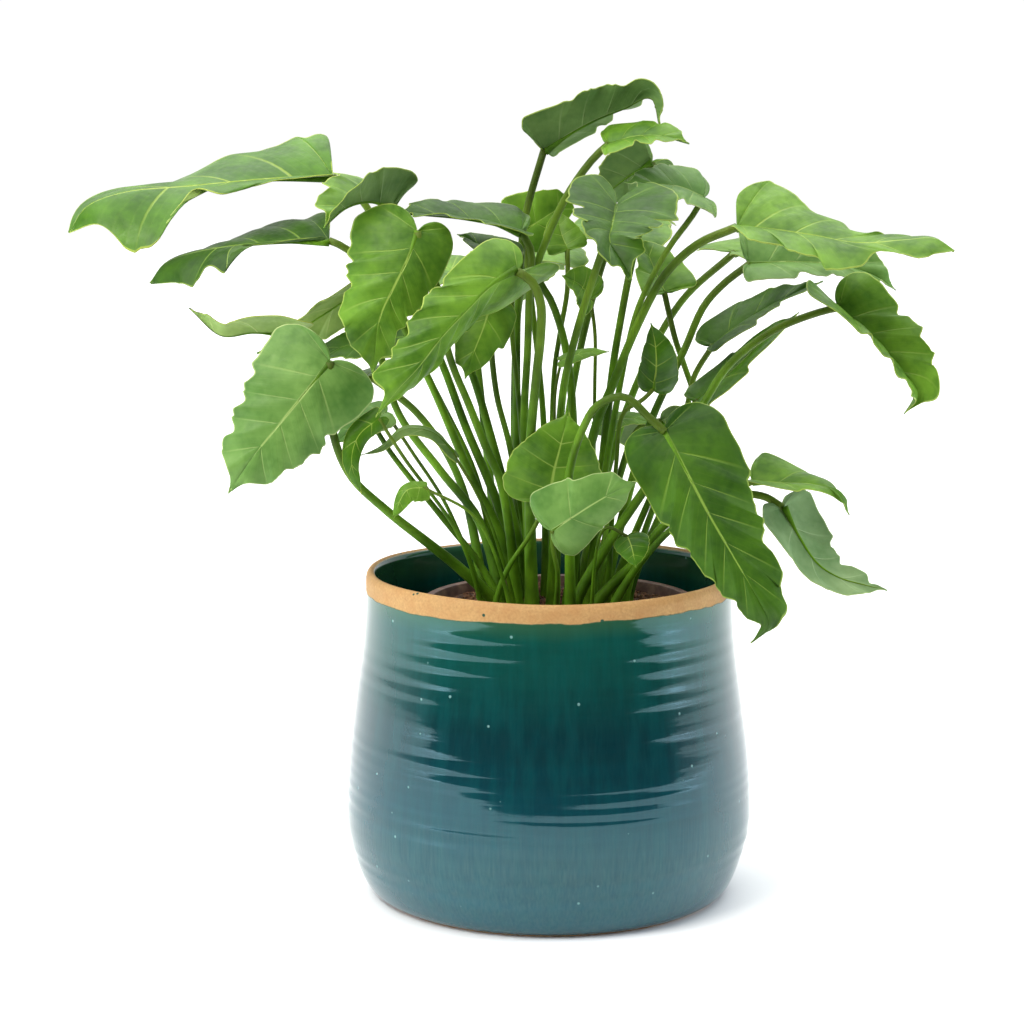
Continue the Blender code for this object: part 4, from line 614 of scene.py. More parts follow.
def stem(points, radii, sides, groove):
    """A closed stem through the points, with a shallow groove along its upper side."""
    tangents = aims(points)
    across = carried(Vector((1.0, 0.2, 0.1)), tangents)
    points = [points[0], *points, points[-1]]
    radii = [0.0, *radii, 0.0]
    tangents = [tangents[0], *tangents, tangents[-1]]
    across = [across[0], *across, across[-1]]
    run = [0.0]
    for a, b in zip(points, points[1:]):
        run.append(run[-1] + (b - a).length)

    def spot(column, row):
        turn = 2 * math.pi * row / sides
        first = across[column]
        second = tangents[column].cross(first)
        dent = 1 - groove * math.exp(-((math.cos(turn) - 1) / GROOVE_WIDTH) ** 2)
        out = (first * math.cos(turn) + second * math.sin(turn)) * radii[column] * dent
        return points[column] + out, (row / sides, run[column] / run[-1])

    bm = bent_grid(len(points), sides + 1, spot, STALK)
    bmesh.ops.recalc_face_normals(bm, faces=bm.faces)
    return bm


def stalk_line(form):
    """Points and radii of the petiole, from its foot in the soil to just past the joint."""
    leaf = form.leaf
    joint = leaf.rib[0]
    foot = Vector((*leaf.foot, SOIL_TOP))
    seen = [front(foot), *[p[:2] for p in leaf.stalk], joint[:2]]
    run = [0.0]
    for a, b in zip(seen, seen[1:]):
        run.append(run[-1] + math.dist(a, b))
    points = [foot - Vector((0, 0, STEM_SINK)), foot + Vector((0, 0, COLLAR_TOP))]
    for p, gone in zip(leaf.stalk, run[1:]):
        depth = p[2] if len(p) == 3 else foot.y + (joint[2] - foot.y) * gone / run[-1]
        points.append(place((p[0], p[1], depth)))
    points.append(place(joint))
    points = walk(smooth(points, 12), STALK_STATIONS)
    radii = []
    for k, point in enumerate(points):
        slimmed = min(k / (len(points) - 1) / SLIM_BY, 1.0) ** SLIM_POWER
        sheath = SHEATH * math.exp(-max(point.z - foot.z, 0.0) / SHEATH_HEIGHT)
        radii.append((FOOT_RADIUS + (NECK_RADIUS - FOOT_RADIUS) * slimmed) * leaf.girth * (1 + sheath))
    return points, radii


def rib_line(form):
    """Points and radii of the midrib, which stands out under the blade."""
    girth = form.leaf.girth
    points = []
    radii = []
    for k in range(RIB_STATIONS):
        share = k / (RIB_STATIONS - 1)
        slim = NECK_RADIUS + (RIB_RADIUS - NECK_RADIUS) * min(share * 5, 1.0)
        radius = slim * girth * (1 - 0.75 * share)
        points.append(form.point(LEFT, 0.985 * share, 0.0, -RIB_SINK * radius))
        radii.append(radius)
    return points, radii


def linear(hex_colour):
    """A shader's colour for an sRGB hex value."""
    parts = [int(hex_colour[i:i + 2], 16) / 255 for i in (1, 3, 5)]
    return tuple(c / 12.92 if c <= 0.04045 else ((c + 0.055) / 1.055) ** 2.4 for c in parts)


def full(hex_colour):
    """The same with its alpha."""
    return (*linear(hex_colour), 1.0)


class Recipe:
    """Adds nodes to a shader tree. Most methods give back the socket with their result."""

    def __init__(self, tree):
        self.tree = tree

    def feed(self, target, inputs):
        """Give a node's sockets their values, or the sockets that they read."""
        for name, value in inputs.items():
            if isinstance(value, bpy.types.NodeSocket):
                self.tree.links.new(value, target.inputs[name])
            else:
                target.inputs[name].default_value = value

    def add(self, kind, inputs=None, **settings):
        """A new node; settings are its own properties, inputs its sockets."""
        made = self.tree.nodes.new("ShaderNode" + kind)
        for name, value in settings.items():
            setattr(made, name, value)
        self.feed(made, inputs or {})
        return made

    def apart(self, vector):
        """The three sockets that hold a vector's numbers."""
        return self.add("SeparateXYZ", {0: vector}).outputs

    def surface(self):
        """The two numbers of the place in the pattern, and a third that stays 0."""
        return self.apart(self.add("UVMap", uv_map="surface").outputs[0])

    def length(self, vector):
        """Length of a vector."""
        return self.add("VectorMath", {0: vector}, operation="LENGTH").outputs["Value"]

    def blotches(self, spot, size, detail):
        """Noise with blotches of about this size."""
        return self.add("TexNoise", {"Vector": spot, "Scale": 1 / size, "Detail": detail}).outputs["Fac"]

    def streaks(self, spot, sizes, detail, turn=(0.0, 0.0, 0.0)):
        """Noise with another size along each axis."""
        drawn_out = self.add("Mapping", {"Vector": spot, "Rotation": turn, "Scale": [1 / s for s in sizes]})
        return self.blotches(drawn_out.outputs[0], 1.0, detail)

    def cells(self, spot, size):
        """Distance from the middle of the nearest of many cells of this size."""
        return self.add("TexVoronoi", {"Vector": spot, "Scale": 1 / size}).outputs["Distance"]

    def math(self, operation, *terms):
        """Any sum on numbers."""
        return self.add("Math", dict(enumerate(terms)), operation=operation).outputs[0]

    def times(self, first, second):
        """The product of two numbers."""
        return self.math("MULTIPLY", first, second)

    def add_share(self, value, share, base):
        """The base with a share of the value added."""
        return self.math("MULTIPLY_ADD", value, share, base)

    def ramp(self, value, start, end, first=0.0, last=1.0, way="LINEAR"):
        """The value's course from start to end, turned into one from first to last."""
        return self.add("MapRange", {"Value": value, "From Min": start, "From Max": end, "To Min": first,
                                     "To Max": last}, interpolation_type=way).outputs[0]

    def blend(self, amount, under, over):
        """One colour laid over another; each is a socket or a hex value."""
        under, over = [full(c) if isinstance(c, str) else c for c in (under, over)]
        return self.add("Mix", {0: amount, 6: under, 7: over}, data_type="RGBA").outputs[2]

    def coated(self, colour, coats):
        """The colour under its coats, each with a mask, a strength and a colour."""
        for mask, strength, paint in coats:
            colour = self.blend(self.times(mask, strength), colour, paint)
        return colour

    def finish(self, sockets, height=None, strength=1.0, depth=1.0, invert=False):
        """Feed the main shader, with the height as its relief."""
        if height is not None:
            bump = self.add("Bump", {"Height": height, "Strength": strength, "Distance": depth},
                            invert=invert)
            sockets = {**sockets, "Normal": bump.outputs[0]}
        self.feed(self.tree.nodes["Principled BSDF"], sockets)


def new_material(name):
    """A material, the recipe for its nodes, and the socket with the place on the object."""
    made = bpy.data.materials.new(name)
    made.use_nodes = True
    mix = Recipe(made.node_tree)
    return made, mix, mix.add("TexCoord").outputs["Object"]


def leaf_skin(name, dark, light, vein, edge, gloss, sunk):
    """Waxy leaf skin: green that drifts over the blade, pale veins and a thin pale margin."""
    made, mix, here = new_material(name)
    number, share, _ = mix.surface()
    off_vein = mix.math("PINGPONG", number, 0.5)
    grain = mix.blotches(here, 0.004, 4.0)
    # Main veins run from the midrib to each lobe and fade towards the margin
    veins = mix.times(mix.ramp(off_vein, 0.010, 0.042, 1.0, 0.0, "SMOOTHSTEP"),
                      mix.ramp(share, 0.15, 0.90, 1.0, 0.10))
    # Side veins lie between them, four to a lobe
    off_side_vein = mix.math("PINGPONG", mix.times(number, 5.0), 0.5)
    side_veins = mix.ramp(off_side_vein, 0.0, 0.16, 1.0, 0.0, "SMOOTHSTEP")
    # Small raised cells between the veins are paler in their middles
    quilt = mix.cells(here, 0.0045)
    darker_patches = mix.ramp(mix.blotches(here, 0.012, 6.0), 0.48, 0.64)
    colour = mix.blend(mix.ramp(mix.blotches(here, 0.030, 4.0), 0.32, 0.68), dark, light)
    colour = mix.coated(colour, (
        (mix.ramp(off_vein, 0.0, 0.30, 1.0, 0.0), 0.16, light),
        (darker_patches, 0.50, dark),
        (mix.ramp(quilt, 0.15, 0.75, 1.0, 0.0), 0.22, light),
        (side_veins, 0.03, vein),
        (grain, 0.22, dark),
        (veins, 0.50, vein),
        (mix.ramp(share, 0.012, 0.045, 1.0, 0.0, "SMOOTHSTEP"), 0.75, vein),
        (mix.ramp(share, 0.968, 0.984), 0.60, edge),
    ))
    height = mix.add_share(quilt, 0.55, mix.add_share(side_veins, 0.12, veins))
    mix.finish({"Base Color": colour, "Roughness": mix.ramp(grain, 0.3, 0.7, gloss, gloss + 0.14),
                "IOR": WAX_IOR, "Specular IOR Level": 0.30},
               mix.add_share(grain, 0.25, height), 0.55, 0.0005, invert=sunk)
    return made


def stalk_skin():
    """Smooth green leaf stalk: fine lengthwise lines, mauve flecks, browner towards the blade."""
    made, mix, here = new_material("leaf_stalk")
    grain = mix.streaks(here, (0.0012, 0.0012, 0.05), 3.0)
    drift = mix.blotches(here, 0.035, 3.0)
    aged = mix.times(mix.ramp(mix.surface()["Y"], 0.55, 1.0), drift)
    colour = mix.blend(mix.ramp(drift, 0.3, 0.7), "#2c4c06", "#66921c")
    colour = mix.coated(colour, ((mix.ramp(grain, 0.52, 0.72), 0.35, "#3f4a22"), (aged, 0.70, "#553a28")))
    mix.finish({"Base Color": colour, "Roughness": 0.50, "IOR": WAX_IOR, "Specular IOR Level": 0.22},
               grain, 0.35, 0.0004)
    return made


def glaze(look):
    """Teal gloss glaze on turned stoneware, with a bare tan clay rim and a bare foot line."""
    made, mix, here = new_material("glazed_stoneware")
    height = mix.apart(here)["Z"]
    cloud = mix.blotches(here, 0.012, 5.0)
    grit = mix.blotches(here, 0.0016, 3.0)
    rings = mix.streaks(here, (0.25, 0.25, 0.009), 2.0)
    # The glaze ran down in streaks as it melted, and was brushed on low down
    run = mix.ramp(mix.streaks(here, (0.007, 0.007, 0.060), 4.0), 0.42, 0.66)
    stroke = mix.times(mix.streaks(here, (0.0016, 0.0016, 0.018), 3.0),
                       mix.ramp(height, 0.050, 0.085, 1.0, 0.15))
    # The glaze stops short of the lip along an uneven line
    sway = mix.add_share(mix.blotches(here, 0.060, 4.0), 0.010, height)
    ragged = mix.add_share(cloud, 0.0016, sway)
    line = POT_HEIGHT - look.rim_band + SWAY_MEAN
    flat = mix.add("VectorMath", {0: here, 1: (1.0, 1.0, 0.0)}, operation="MULTIPLY").outputs[0]
    bare_rim = mix.times(mix.ramp(ragged, line - 0.0004, line + 0.0004),
                         mix.ramp(mix.length(flat), 0.1206, 0.1214))
    bare = mix.math("MAXIMUM", bare_rim, mix.ramp(height, 0.0012, 0.0020, 1.0, 0.0))
    pit = mix.ramp(mix.cells(here, 0.016), 0.035, 0.075, 1.0, 0.0)
    teal = mix.blend(mix.ramp(sway, 0.03, 0.13), look.low_glaze, look.mid_glaze)
    teal = mix.blend(mix.ramp(sway, 0.14, 0.215), teal, look.high_glaze)
    # Thin glaze just under the rim shows the clay and looks olive
    thin = mix.ramp(ragged, line - 0.012, line, 0.0, 0.6)
    teal = mix.coated(teal, ((cloud, 0.35, "#01262b"), (rings, 0.50, "#011c20"), (run, 0.14, "#075a58"),
                             (stroke, 0.34, "#5f7468"), (thin, 0.80, "#3a5a34"), (pit, 0.45, "#8fc0b8")))
    clay = mix.blend(grit, "#94683a", "#c89e60")
    clay = mix.blend(mix.ramp(cloud, 0.45, 0.65, 0.0, 0.45), clay, "#a8743e")
    clay = mix.blend(mix.ramp(mix.cells(here, 0.013), 0.085, 0.110, 1.0, 0.0), clay, "#173c28")
    relief = mix.add_share(bare, -1.0, 1.0)
    for part, share in ((mix.times(grit, bare), 0.4), (cloud, 0.18), (pit, -0.5), (rings, 0.5),
                        (stroke, 0.25)):
        relief = mix.add_share(part, share, relief)
    mix.finish({"Base Color": mix.blend(bare, teal, clay), "Roughness": mix.ramp(bare, 0.0, 1.0, 0.07, 0.72),
                "IOR": 1.62, "Specular Tint": full("#b8e4ee")}, relief, 0.6, 0.0006)
    return made


def moulded_plastic():
    """Brown polypropylene of a moulded nursery pot: satin, with faint scuffs and dust."""
    made, mix, here = new_material("brown_polypropylene")
    scuff = mix.blotches(here, 0.010, 5.0)
    colour = mix.blend(mix.ramp(scuff, 0.45, 0.75), "#5a3b33", "#8a6a5c")
    mix.finish({"Base Color": colour, "Roughness": mix.ramp(scuff, 0.0, 1.0, 0.38, 0.68)},
               mix.blotches(here, 0.0008, 2.0), 0.25, 0.0002)
    return made


def peat(name, dark, light):
    """Moist fibrous peat: dark brown with lighter fibres, rough all over."""
    made, mix, here = new_material(name)
    clods = mix.blotches(here, 0.004, 6.0)
    strands = mix.ramp(mix.streaks(here, (0.0008, 0.006, 0.002), 3.0, (0.2, 0.4, 0.7)), 0.58, 0.70)
    colour = mix.coated(mix.blend(mix.ramp(clods, 0.35, 0.70), dark, light), ((strands, 0.5, "#9a7350"),))
    mix.finish({"Base Color": colour, "Roughness": 0.92}, mix.add_share(strands, 0.4, clods), 0.8, 0.0015)
    return made


def mesh_of(bm, name):
    """The finished mesh of a bmesh."""
    mesh = bpy.data.meshes.new(name)
    bm.to_mesh(mesh)
    bm.free()
    return mesh


def add_object(name, mesh, finishes):
    """An object in the scene with its finishes."""
    ob = bpy.data.objects.new(name, mesh)
    bpy.context.scene.collection.objects.link(ob)
    for finish in finishes:
        mesh.materials.append(finish)
    return ob


def as_modified(ob):
    """The object's mesh as its modifiers leave it; the object itself is removed."""
    depsgraph = bpy.context.evaluated_depsgraph_get()
    mesh = bpy.data.meshes.new_from_object(ob.evaluated_get(depsgraph))
    bpy.data.objects.remove(ob)
    return mesh


def spun(profile, steps):
    """A closed turned shell: the profile of radii and heights, spun about the vertical axis."""
    bm = bmesh.new()
    verts = [bm.verts.new((max(radius, 0.0), 0.0, height)) for radius, height in profile]
    edges = [bm.edges.new(pair) for pair in zip(verts, verts[1:])]
    bmesh.ops.spin(bm, geom=verts + edges, cent=(0, 0, 0), axis=(0, 0, 1), angle=2 * math.pi,
                   steps=steps, use_merge=True)
    bmesh.ops.remove_doubles(bm, verts=bm.verts, dist=MERGE)
    bmesh.ops.recalc_face_normals(bm, faces=bm.faces)
    for face in bm.faces:
        face.smooth = True
    return bm


def soil_height(x, y):
    """Height of the soil's surface at a place in plan."""
    spot = Vector((x, y, 0.0))
    reach = min((spot - LINER_AT).length / LINER_TOP_RADIUS, 1.0)
    clods = noise.fractal(spot / 0.011, 0.8, 2.0, 4)
    return SOIL_TOP + SOIL_CROWN * (1 - reach) - 0.0022 + 0.0019 * clods


def metres(name, description, default, low, high):
    """A length that can be set in the sidebar."""
    return bpy.props.FloatProperty(name=name, description=description, default=default, min=low, max=high,
                                   unit="LENGTH")


def paint(name, description, default):
    """A colour that can be set in the sidebar, as a hex value."""
    return bpy.props.StringProperty(name=name, description=description, default=default)


def power(name, description, default):
    """A light's strength that can be set in the sidebar."""
    return bpy.props.FloatProperty(name=name, description=description, default=default, min=0.0)


class XanaduLeafLook(bpy.types.PropertyGroup):
    """Sizes that finish the leaves."""

    thickness: metres("Blade thickness", "Thickness of a leaf blade", 0.0006, 0.0002, 0.002)
    quilting: metres("Quilting", "How far the blade stands up between its main veins", 0.0011, 0.0, 0.005)
    ripple: metres("Ripple", "Height of the small waves along the margin", 0.0030, 0.0, 0.008)


class XanaduPotLook(bpy.types.PropertyGroup):
    """Sizes and colours of the cover pot."""

    ridge_spacing: metres("Ridge spacing", "Distance between the ridges left by turning", 0.0105, 0.004,
                          0.03)
    ridge_height: metres("Ridge height", "How far a ridge stands out", 0.00020, 0.0, 0.002)
    rim_band: metres("Bare rim", "Height of the clay band left unglazed at the rim", 0.0130, 0.0, 0.05)
    high_glaze: paint("Upper glaze", "Colour of the glaze near the rim, as a hex value", "#085040")
    mid_glaze: paint("Middle glaze", "Colour of the glaze at mid height, as a hex value", "#012e34")
    low_glaze: paint("Lower glaze", "Colour of the glaze near the foot, as a hex value", "#0c4c5c")


class XanaduSoilLook(bpy.types.PropertyGroup):
    """What lies on the soil."""

    crumbs: bpy.props.IntProperty(
        name="Crumbs", description="Number of loose crumbs on the soil", default=1500, min=0, max=3000)
    fibres: bpy.props.IntProperty(
        name="Fibres", description="Number of loose fibres on the soil", default=170, min=0, max=1000)


class XanaduStageLook(bpy.types.PropertyGroup):
    """Light and floor."""

    floor: paint("Floor", "Colour of the floor, as a hex value", "#f4f4f3")
    key: power("Key light", "Power of the large light, in watts", 60.0)
    overhead: power("Overhead light", "Power of the light over the floor, in watts", 170.0)
    side: power("Side lights", "Power of each side light, in watts", 16.0)
    sky: power("Surroundings", "Brightness of the white surroundings", 1.02)


class XANADU_OT_cover_pot(bpy.types.Operator):
    """Make the glazed cover pot with its turning ridges and bare rim"""

    bl_idname = "xanadu.cover_pot"
    bl_label = "Cover pot"

    def execute(self, context):
        look = context.scene.xanadu_pot
        inner = smooth([Vector((r, 0.0, z)) for r, z in POT_INNER], 8)
        outer = smooth([Vector((r, 0.0, z)) for r, z in reversed(POT_OUTER)], 14)
        middle = POT_OUTER[-1][0] - POT_WALL / 2
        rise = POT_HEIGHT - POT_OUTER[-1][1]
        lip = []
        for step in range(1, LIP_STEPS):
            turn = math.pi * (1 - step / LIP_STEPS)
            lip.append((middle + POT_WALL / 2 * math.cos(turn), POT_OUTER[-1][1] + rise * math.sin(turn)))
        profile = [(0.0, POT_FLOOR), *[(p.x, p.z) for p in inner], *lip, *[(p.x, p.z) for p in outer],
                   (POT_STAND, 0.0), (0.0, 0.0)]
        bm = spun(profile, POT_STEPS)
        for vert in bm.verts:
            reach = vert.co.xy.length
            if reach < 0.05:
                continue
            turn = math.atan2(vert.co.y, vert.co.x)
            up = vert.co.z
            if up > UPPER_FROM:
                outside = eased(reach - UPPER_SIDE, 0.004)
            else:
                outside = float(reach > LOWER_SIDE or up < RIDGES_FROM)
            body = eased(up - RIDGES_FROM, 0.02) * eased(RIDGES_TO - up, 0.01)
            warp = 5.0 * noise.noise(Vector((0.0, 0.5, up / 0.040)))
            ring = math.cos(2 * math.pi * up / look.ridge_spacing + turn + warp)
            force = 0.40 + 1.6 * noise.noise(Vector((math.cos(turn) * 0.9, math.sin(turn) * 0.9, up / 0.03)))
            sway = 0.0011 * noise.noise(Vector((math.cos(turn) * 1.6, math.sin(turn) * 1.6, up / 0.06)))
            out = body * outside * (look.ridge_height * ring * max(force, 0.1)) + sway * min(up / 0.02, 1.0)
            vert.co.xy *= (reach + out) / reach
            if up > RIM_FROM:
                dip = 0.0007 * math.sin(2 * turn + 0.8) + 0.0004 * math.sin(5 * turn)
                vert.co.z += dip * eased(up - RIM_FROM, 0.01)
        ob = add_object("stoneware_pot", mesh_of(bm, "stoneware_pot"), [glaze(look)])
        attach(ob, "root")
        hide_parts("ceramic_pot")
        return {"FINISHED"}


class XANADU_OT_nursery_pot(bpy.types.Operator):
    """Make the thin nursery pot with its rolled rim and drain holes"""

    bl_idname = "xanadu.nursery_pot"
    bl_label = "Nursery pot"

    def execute(self, context):
        rim = LINER_HEIGHT - LINER_RIM_HEIGHT
        wall = LINER_WALL
        slope = (LINER_TOP_RADIUS - LINER_BASE_RADIUS) / LINER_HEIGHT
        at_rim = LINER_BASE_RADIUS + slope * rim
        profile = [(0.0, wall), (LINER_BASE_RADIUS - wall - LINER_CORNER, wall),
                   (LINER_BASE_RADIUS - wall, wall + LINER_CORNER)]
        for step in range(1, 9):
            up = wall + LINER_CORNER + (rim - wall - LINER_CORNER) * step / 8
            profile.append((LINER_BASE_RADIUS + slope * up - wall, up))
        profile += [(LINER_TOP_RADIUS - wall, LINER_HEIGHT - 0.0016),
                    (LINER_TOP_RADIUS - wall + 0.0006, LINER_HEIGHT - 0.0004),
                    (LINER_TOP_RADIUS, LINER_HEIGHT), (LINER_RIM_RADIUS - 0.0012, LINER_HEIGHT),
                    (LINER_RIM_RADIUS - 0.0003, LINER_HEIGHT - 0.0004),
                    (LINER_RIM_RADIUS, LINER_HEIGHT - 0.0014),
                    (LINER_RIM_RADIUS - 0.0002, LINER_HEIGHT - 0.0060),
                    (LINER_RIM_RADIUS, rim + 0.0008), (LINER_RIM_RADIUS - 0.0006, rim),
                    (at_rim + 0.0002, rim)]
        for step in range(1, 9):
            up = rim - (rim - 0.003) * step / 8
            profile.append((LINER_BASE_RADIUS + slope * up, up))
        profile += [(LINER_BASE_RADIUS - 0.002, 0.0), (0.0, 0.0)]
        finish = moulded_plastic()
        pot = add_object("liner_shell", mesh_of(spun(profile, LINER_STEPS), "liner_shell"), [finish])
        punches = bmesh.new()
        for k in range(DRAIN_HOLES):
            spot = Matrix.Rotation(2 * math.pi * k / DRAIN_HOLES, 4, "Z") @ Matrix.Translation(
                (DRAIN_CIRCLE, 0, 0))
            bmesh.ops.create_cone(punches, cap_ends=True, segments=24, radius1=DRAIN_RADIUS,
                                  radius2=DRAIN_RADIUS, depth=4 * wall, matrix=spot)
        punch = add_object("drain_punches", mesh_of(punches, "drain_punches"), [])
        cut = pot.modifiers.new("Drain holes", "BOOLEAN")
        cut.operation = "DIFFERENCE"
        cut.object = punch
        mesh = as_modified(pot)
        bpy.data.objects.remove(punch)
        mesh.name = "nursery_liner"
        mesh.transform(Matrix.Translation(LINER_AT + Vector((0, 0, LINER_FOOT))))
        mesh.materials.clear()
        ob = add_object("nursery_liner", mesh, [finish])
        ob.data.set_sharp_from_angle(angle=math.radians(40))
        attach(ob, "root")
        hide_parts("nursery_pot")
        return {"FINISHED"}


class XANADU_OT_soil(bpy.types.Operator):
    """Make the peat with its crumbled surface, and the crumbs and fibres that lie on it"""

    bl_idname = "xanadu.soil"
    bl_label = "Potting soil"

    def execute(self, context):
        look = context.scene.xanadu_soil
        foot = LINER_FOOT + LINER_WALL + WALL_GAP
        side = LINER_WALL + 2 * WALL_GAP
        slope = (LINER_TOP_RADIUS - LINER_BASE_RADIUS) / LINER_HEIGHT
        high = LINER_BASE_RADIUS + slope * (SOIL_TOP - LINER_FOOT) - side
        profile = [(high * k / SOIL_RINGS, SOIL_TOP) for k in range(SOIL_RINGS + 1)]
        profile += [(LINER_BASE_RADIUS - side, foot), (0.0, foot)]
        bm = spun(profile, SOIL_STEPS)
        bmesh.ops.translate(bm, verts=bm.verts, vec=LINER_AT)
        for vert in bm.verts:
            if vert.co.z > SOIL_TOP - 0.001:
                vert.co.z = soil_height(vert.co.x, vert.co.y)
        ob = add_object("peat_fill", mesh_of(bm, "peat_fill"), [peat("moist_peat", "#2c1a10", "#65432e")])
        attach(ob, "root")
        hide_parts("potting_soil")
        draw = random.Random(7)
        bm = bmesh.new()
        for _ in range(look.crumbs):
            spot = self.anywhere(draw, high - 0.003)
            size = draw.uniform(0.0007, 0.0026)
            shape = Matrix.LocRotScale(spot, self.any_turn(draw), Vector(
                (size, size * draw.uniform(0.6, 1.0), size * draw.uniform(0.5, 0.9))))
            made = bmesh.ops.create_icosphere(bm, subdivisions=1, radius=1.0, matrix=shape)["verts"]
            for vert in made:
                vert.co += (vert.co - spot) * draw.uniform(-0.25, 0.25)
        for _ in range(look.fibres):
            spot = self.anywhere(draw, high - 0.008) + Vector((0, 0, 0.0006))
            lie = Matrix.Rotation(draw.uniform(0, 6.28), 3, "Z") @ Matrix.Rotation(
                math.radians(90 + draw.uniform(-16, 16)), 3, "X")
            bmesh.ops.create_cone(bm, cap_ends=True, segments=5, radius1=0.00035, radius2=0.0001,
                                  depth=draw.uniform(0.005, 0.014), matrix=Matrix.LocRotScale(
                                      spot, lie, Vector((1, 1, 1))))
        crumbs = add_object("peat_crumbs", mesh_of(bm, "peat_crumbs"),
                            [peat("dry_peat_crumbs", "#4a2f20", "#936748")])
        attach(crumbs, "root")
        return {"FINISHED"}

    @staticmethod
    def anywhere(draw, reach):
        """A place on the soil."""
        far = reach * math.sqrt(draw.random())
        turn = draw.uniform(0, 2 * math.pi)
        x, y = LINER_AT.x + far * math.cos(turn), LINER_AT.y + far * math.sin(turn)
        return Vector((x, y, soil_height(x, y) + 0.0003))

    @staticmethod
    def any_turn(draw):
        """A turn about any axis."""
        axis = Vector([draw.uniform(-1, 1) for _ in range(3)]).normalized()
        return Matrix.Rotation(draw.uniform(0, 6.28), 3, axis)


class XANADU_OT_leaves(bpy.types.Operator):
    """Make every leaf: its quilted blade, its midrib and its stalk"""

    bl_idname = "xanadu.leaves"
    bl_label = "Leaves"

    def execute(self, context):
        look = context.scene.xanadu_leaf
        stalk = stalk_skin()
        skins = {
            kind: (leaf_skin("leaf_upper_" + kind, *upper, gloss, True),
                   leaf_skin("leaf_under_" + kind, *under, gloss + 0.16, False))
            for kind, (upper, under, gloss) in LEAF_PAINTS.items()
        }
        for leaf in LEAVES:
            # Bright leaves get the young colours with painted light; deep leaves get the old colours with
            # painted shade
            kind = ("young" if leaf.name in BRIGHT else "old" if leaf.name in DEEP
                    else "grey" if leaf.name in PALE else "usual")
            self.one(leaf, look, [*skins[kind], stalk])
        return {"FINISHED"}

    @staticmethod
    def one(leaf, look, finishes):
        """One leaf, as one piece that stands for its solid."""
        form = Form(leaf)
        sheet = bmesh.new()
        for side in (LEFT, RIGHT):
            half = mesh_of(blade_side(form, side, look), "half")
            sheet.from_mesh(half)
            bpy.data.meshes.remove(half)
        bmesh.ops.remove_doubles(sheet, verts=sheet.verts, dist=MERGE)
        blade = add_object("blade", mesh_of(sheet, "blade"), [])
        thick = blade.modifiers.new("Thickness", "SOLIDIFY")
        thick.thickness = look.thickness
        thick.offset = 0.0
        thick.material_offset = UNDER
        blade.data.materials.append(finishes[UPPER])
        blade.data.materials.append(finishes[UNDER])
        whole = bmesh.new()
        parts = [as_modified(blade),
                 mesh_of(stem(*stalk_line(form), STALK_SIDES, GROOVE), "stalk"),
                 mesh_of(stem(*rib_line(form), RIB_SIDES, 0.0), "rib")]
        for part in parts:
            whole.from_mesh(part)
            bpy.data.meshes.remove(part)
        name = leaf.name.replace("leaf_", "frond_")
        ob = add_object(name, mesh_of(whole, name), finishes)
        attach(ob, "root")
        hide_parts(leaf.name)


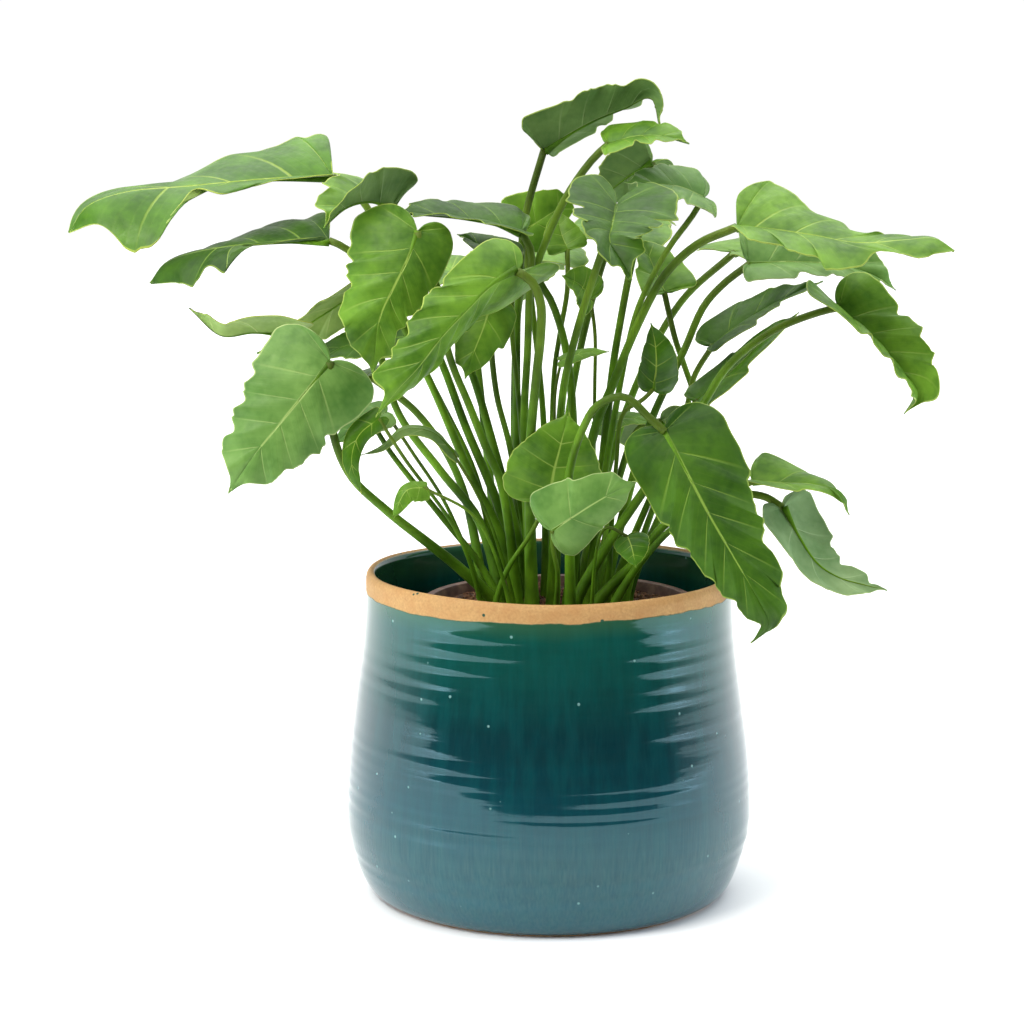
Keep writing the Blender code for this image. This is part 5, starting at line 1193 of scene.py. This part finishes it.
class XANADU_OT_stage(bpy.types.Operator):
    """Make the pale floor, the soft studio light and the camera"""

    bl_idname = "xanadu.stage"
    bl_label = "Stage"

    def execute(self, context):
        look = context.scene.xanadu_stage
        bm = bmesh.new()
        bmesh.ops.create_grid(bm, x_segments=24, y_segments=24, size=6.0)
        bmesh.ops.bisect_plane(bm, geom=[*bm.verts, *bm.edges, *bm.faces], plane_co=(0, FLOOR_FRONT, 0),
                               plane_no=(0, -1, 0), clear_outer=True)
        made, mix, here = new_material("matt_paper_floor")
        # Far from the pot the paper glows a little, so its edge melts into the surroundings
        mix.finish({"Base Color": mix.blend(mix.blotches(here, 0.4, 2.0), look.floor, WHITE),
                    "Roughness": 0.85, "Emission Color": full(WHITE),
                    "Emission Strength": mix.ramp(mix.length(here), 1.0, 2.2, 0.0, 0.30)})
        floor = add_object("paper_floor", mesh_of(bm, "paper_floor"), [made])
        self.surroundings(context.scene, look.sky)
        context.scene.view_settings.view_transform = "Standard"
        self.lamp("key_softbox", (-1.5, -1.5, 2.3), (0, 0, 0.30), (1.6, 1.2), look.key, "#fff8ee")
        self.lamp("overhead_softbox", (0, 1.0, 3.6), (0, 0.6, 0), (5.0, 5.0), look.overhead, WHITE)
        # The side lights give light but no mirror image in the glaze
        self.lamp("left_softbox", (-1.6, -0.75, 0.50), (0, 0, 0.15), (0.7, 1.0), 1.2 * look.side, COOL,
                  mirrored=False)
        self.lamp("right_softbox", (1.75, -0.30, 0.50), (0, 0, 0.15), (0.45, 1.0), look.side, COOL,
                  mirrored=False)
        self.camera(context.scene)
        return {"FINISHED"}

    @staticmethod
    def surroundings(scene, bright):
        """White studio, dim only in front of the plant, where the room is dark."""
        scene.world = bpy.data.worlds.new("studio")
        scene.world.use_nodes = True
        mix = Recipe(scene.world.node_tree)
        way = mix.apart(mix.add("TexCoord").outputs["Generated"])
        open_part = mix.math("MAXIMUM", mix.ramp(way["Y"], -0.35, 0.20), mix.ramp(way["Z"], 0.30, 0.85))
        shade = mix.blend(open_part, "#23292d", WHITE)
        shade = mix.blend(mix.add("LightPath").outputs["Is Camera Ray"], shade, WHITE)
        mix.feed(mix.tree.nodes["Background"], {"Strength": bright, "Color": shade})

    @staticmethod
    def lamp(name, spot, aim, size, power, tint, mirrored=True):
        """A rectangular softbox that faces a point."""
        light = bpy.data.lights.new(name, "AREA")
        light.shape = "RECTANGLE"
        light.size, light.size_y = size
        light.energy = power
        light.color = linear(tint)
        ob = bpy.data.objects.new(name, light)
        bpy.context.scene.collection.objects.link(ob)
        ob.location = spot
        ob.rotation_euler = (Vector(aim) - Vector(spot)).to_track_quat("-Z", "Y").to_euler()
        ob.visible_glossy = mirrored

    @staticmethod
    def camera(scene):
        """The camera at the eye of the front elevation."""
        lens = bpy.data.cameras.new("camera")
        lens.sensor_width = 36.0
        lens.lens = EYE_LENS
        ob = bpy.data.objects.new("camera", lens)
        scene.collection.objects.link(ob)
        ob.location = (EYE_ACROSS, -EYE_BACK, EYE_UP)
        ob.rotation_euler = (math.radians(90 - EYE_PITCH), 0.0, 0.0)
        scene.camera = ob


STEPS = (XANADU_OT_stage, XANADU_OT_cover_pot, XANADU_OT_nursery_pot, XANADU_OT_soil,
         XANADU_OT_leaves)
LOOKS = {"xanadu_leaf": XanaduLeafLook, "xanadu_pot": XanaduPotLook, "xanadu_soil": XanaduSoilLook,
         "xanadu_stage": XanaduStageLook}


class XANADU_PT_panel(bpy.types.Panel):
    """The plant's sizes and steps in the sidebar."""

    bl_idname = "XANADU_PT_panel"
    bl_label = "Xanadu"
    bl_space_type = "VIEW_3D"
    bl_region_type = "UI"
    bl_category = "Xanadu"

    def draw(self, context):
        for name, group in LOOKS.items():
            box = self.layout.box()
            for field in group.__annotations__:
                box.prop(getattr(context.scene, name), field)
        for step in STEPS:
            self.layout.operator(step.bl_idname)


def register():
    """Register the groups, operators and panel."""
    for made in (*LOOKS.values(), *STEPS, XANADU_PT_panel):
        bpy.utils.register_class(made)
    for name, group in LOOKS.items():
        setattr(bpy.types.Scene, name, bpy.props.PointerProperty(type=group))


def unregister():
    """Take them away again."""
    for name in LOOKS:
        delattr(bpy.types.Scene, name)
    for made in (XANADU_PT_panel, *reversed(STEPS), *LOOKS.values()):
        bpy.utils.unregister_class(made)


def main():
    """Build the whole scene."""
    register()
    bpy.ops.xanadu.stage()
    bpy.ops.xanadu.cover_pot()
    bpy.ops.xanadu.nursery_pot()
    bpy.ops.xanadu.soil()
    bpy.ops.xanadu.leaves()


if __name__ == "__main__":
    main()
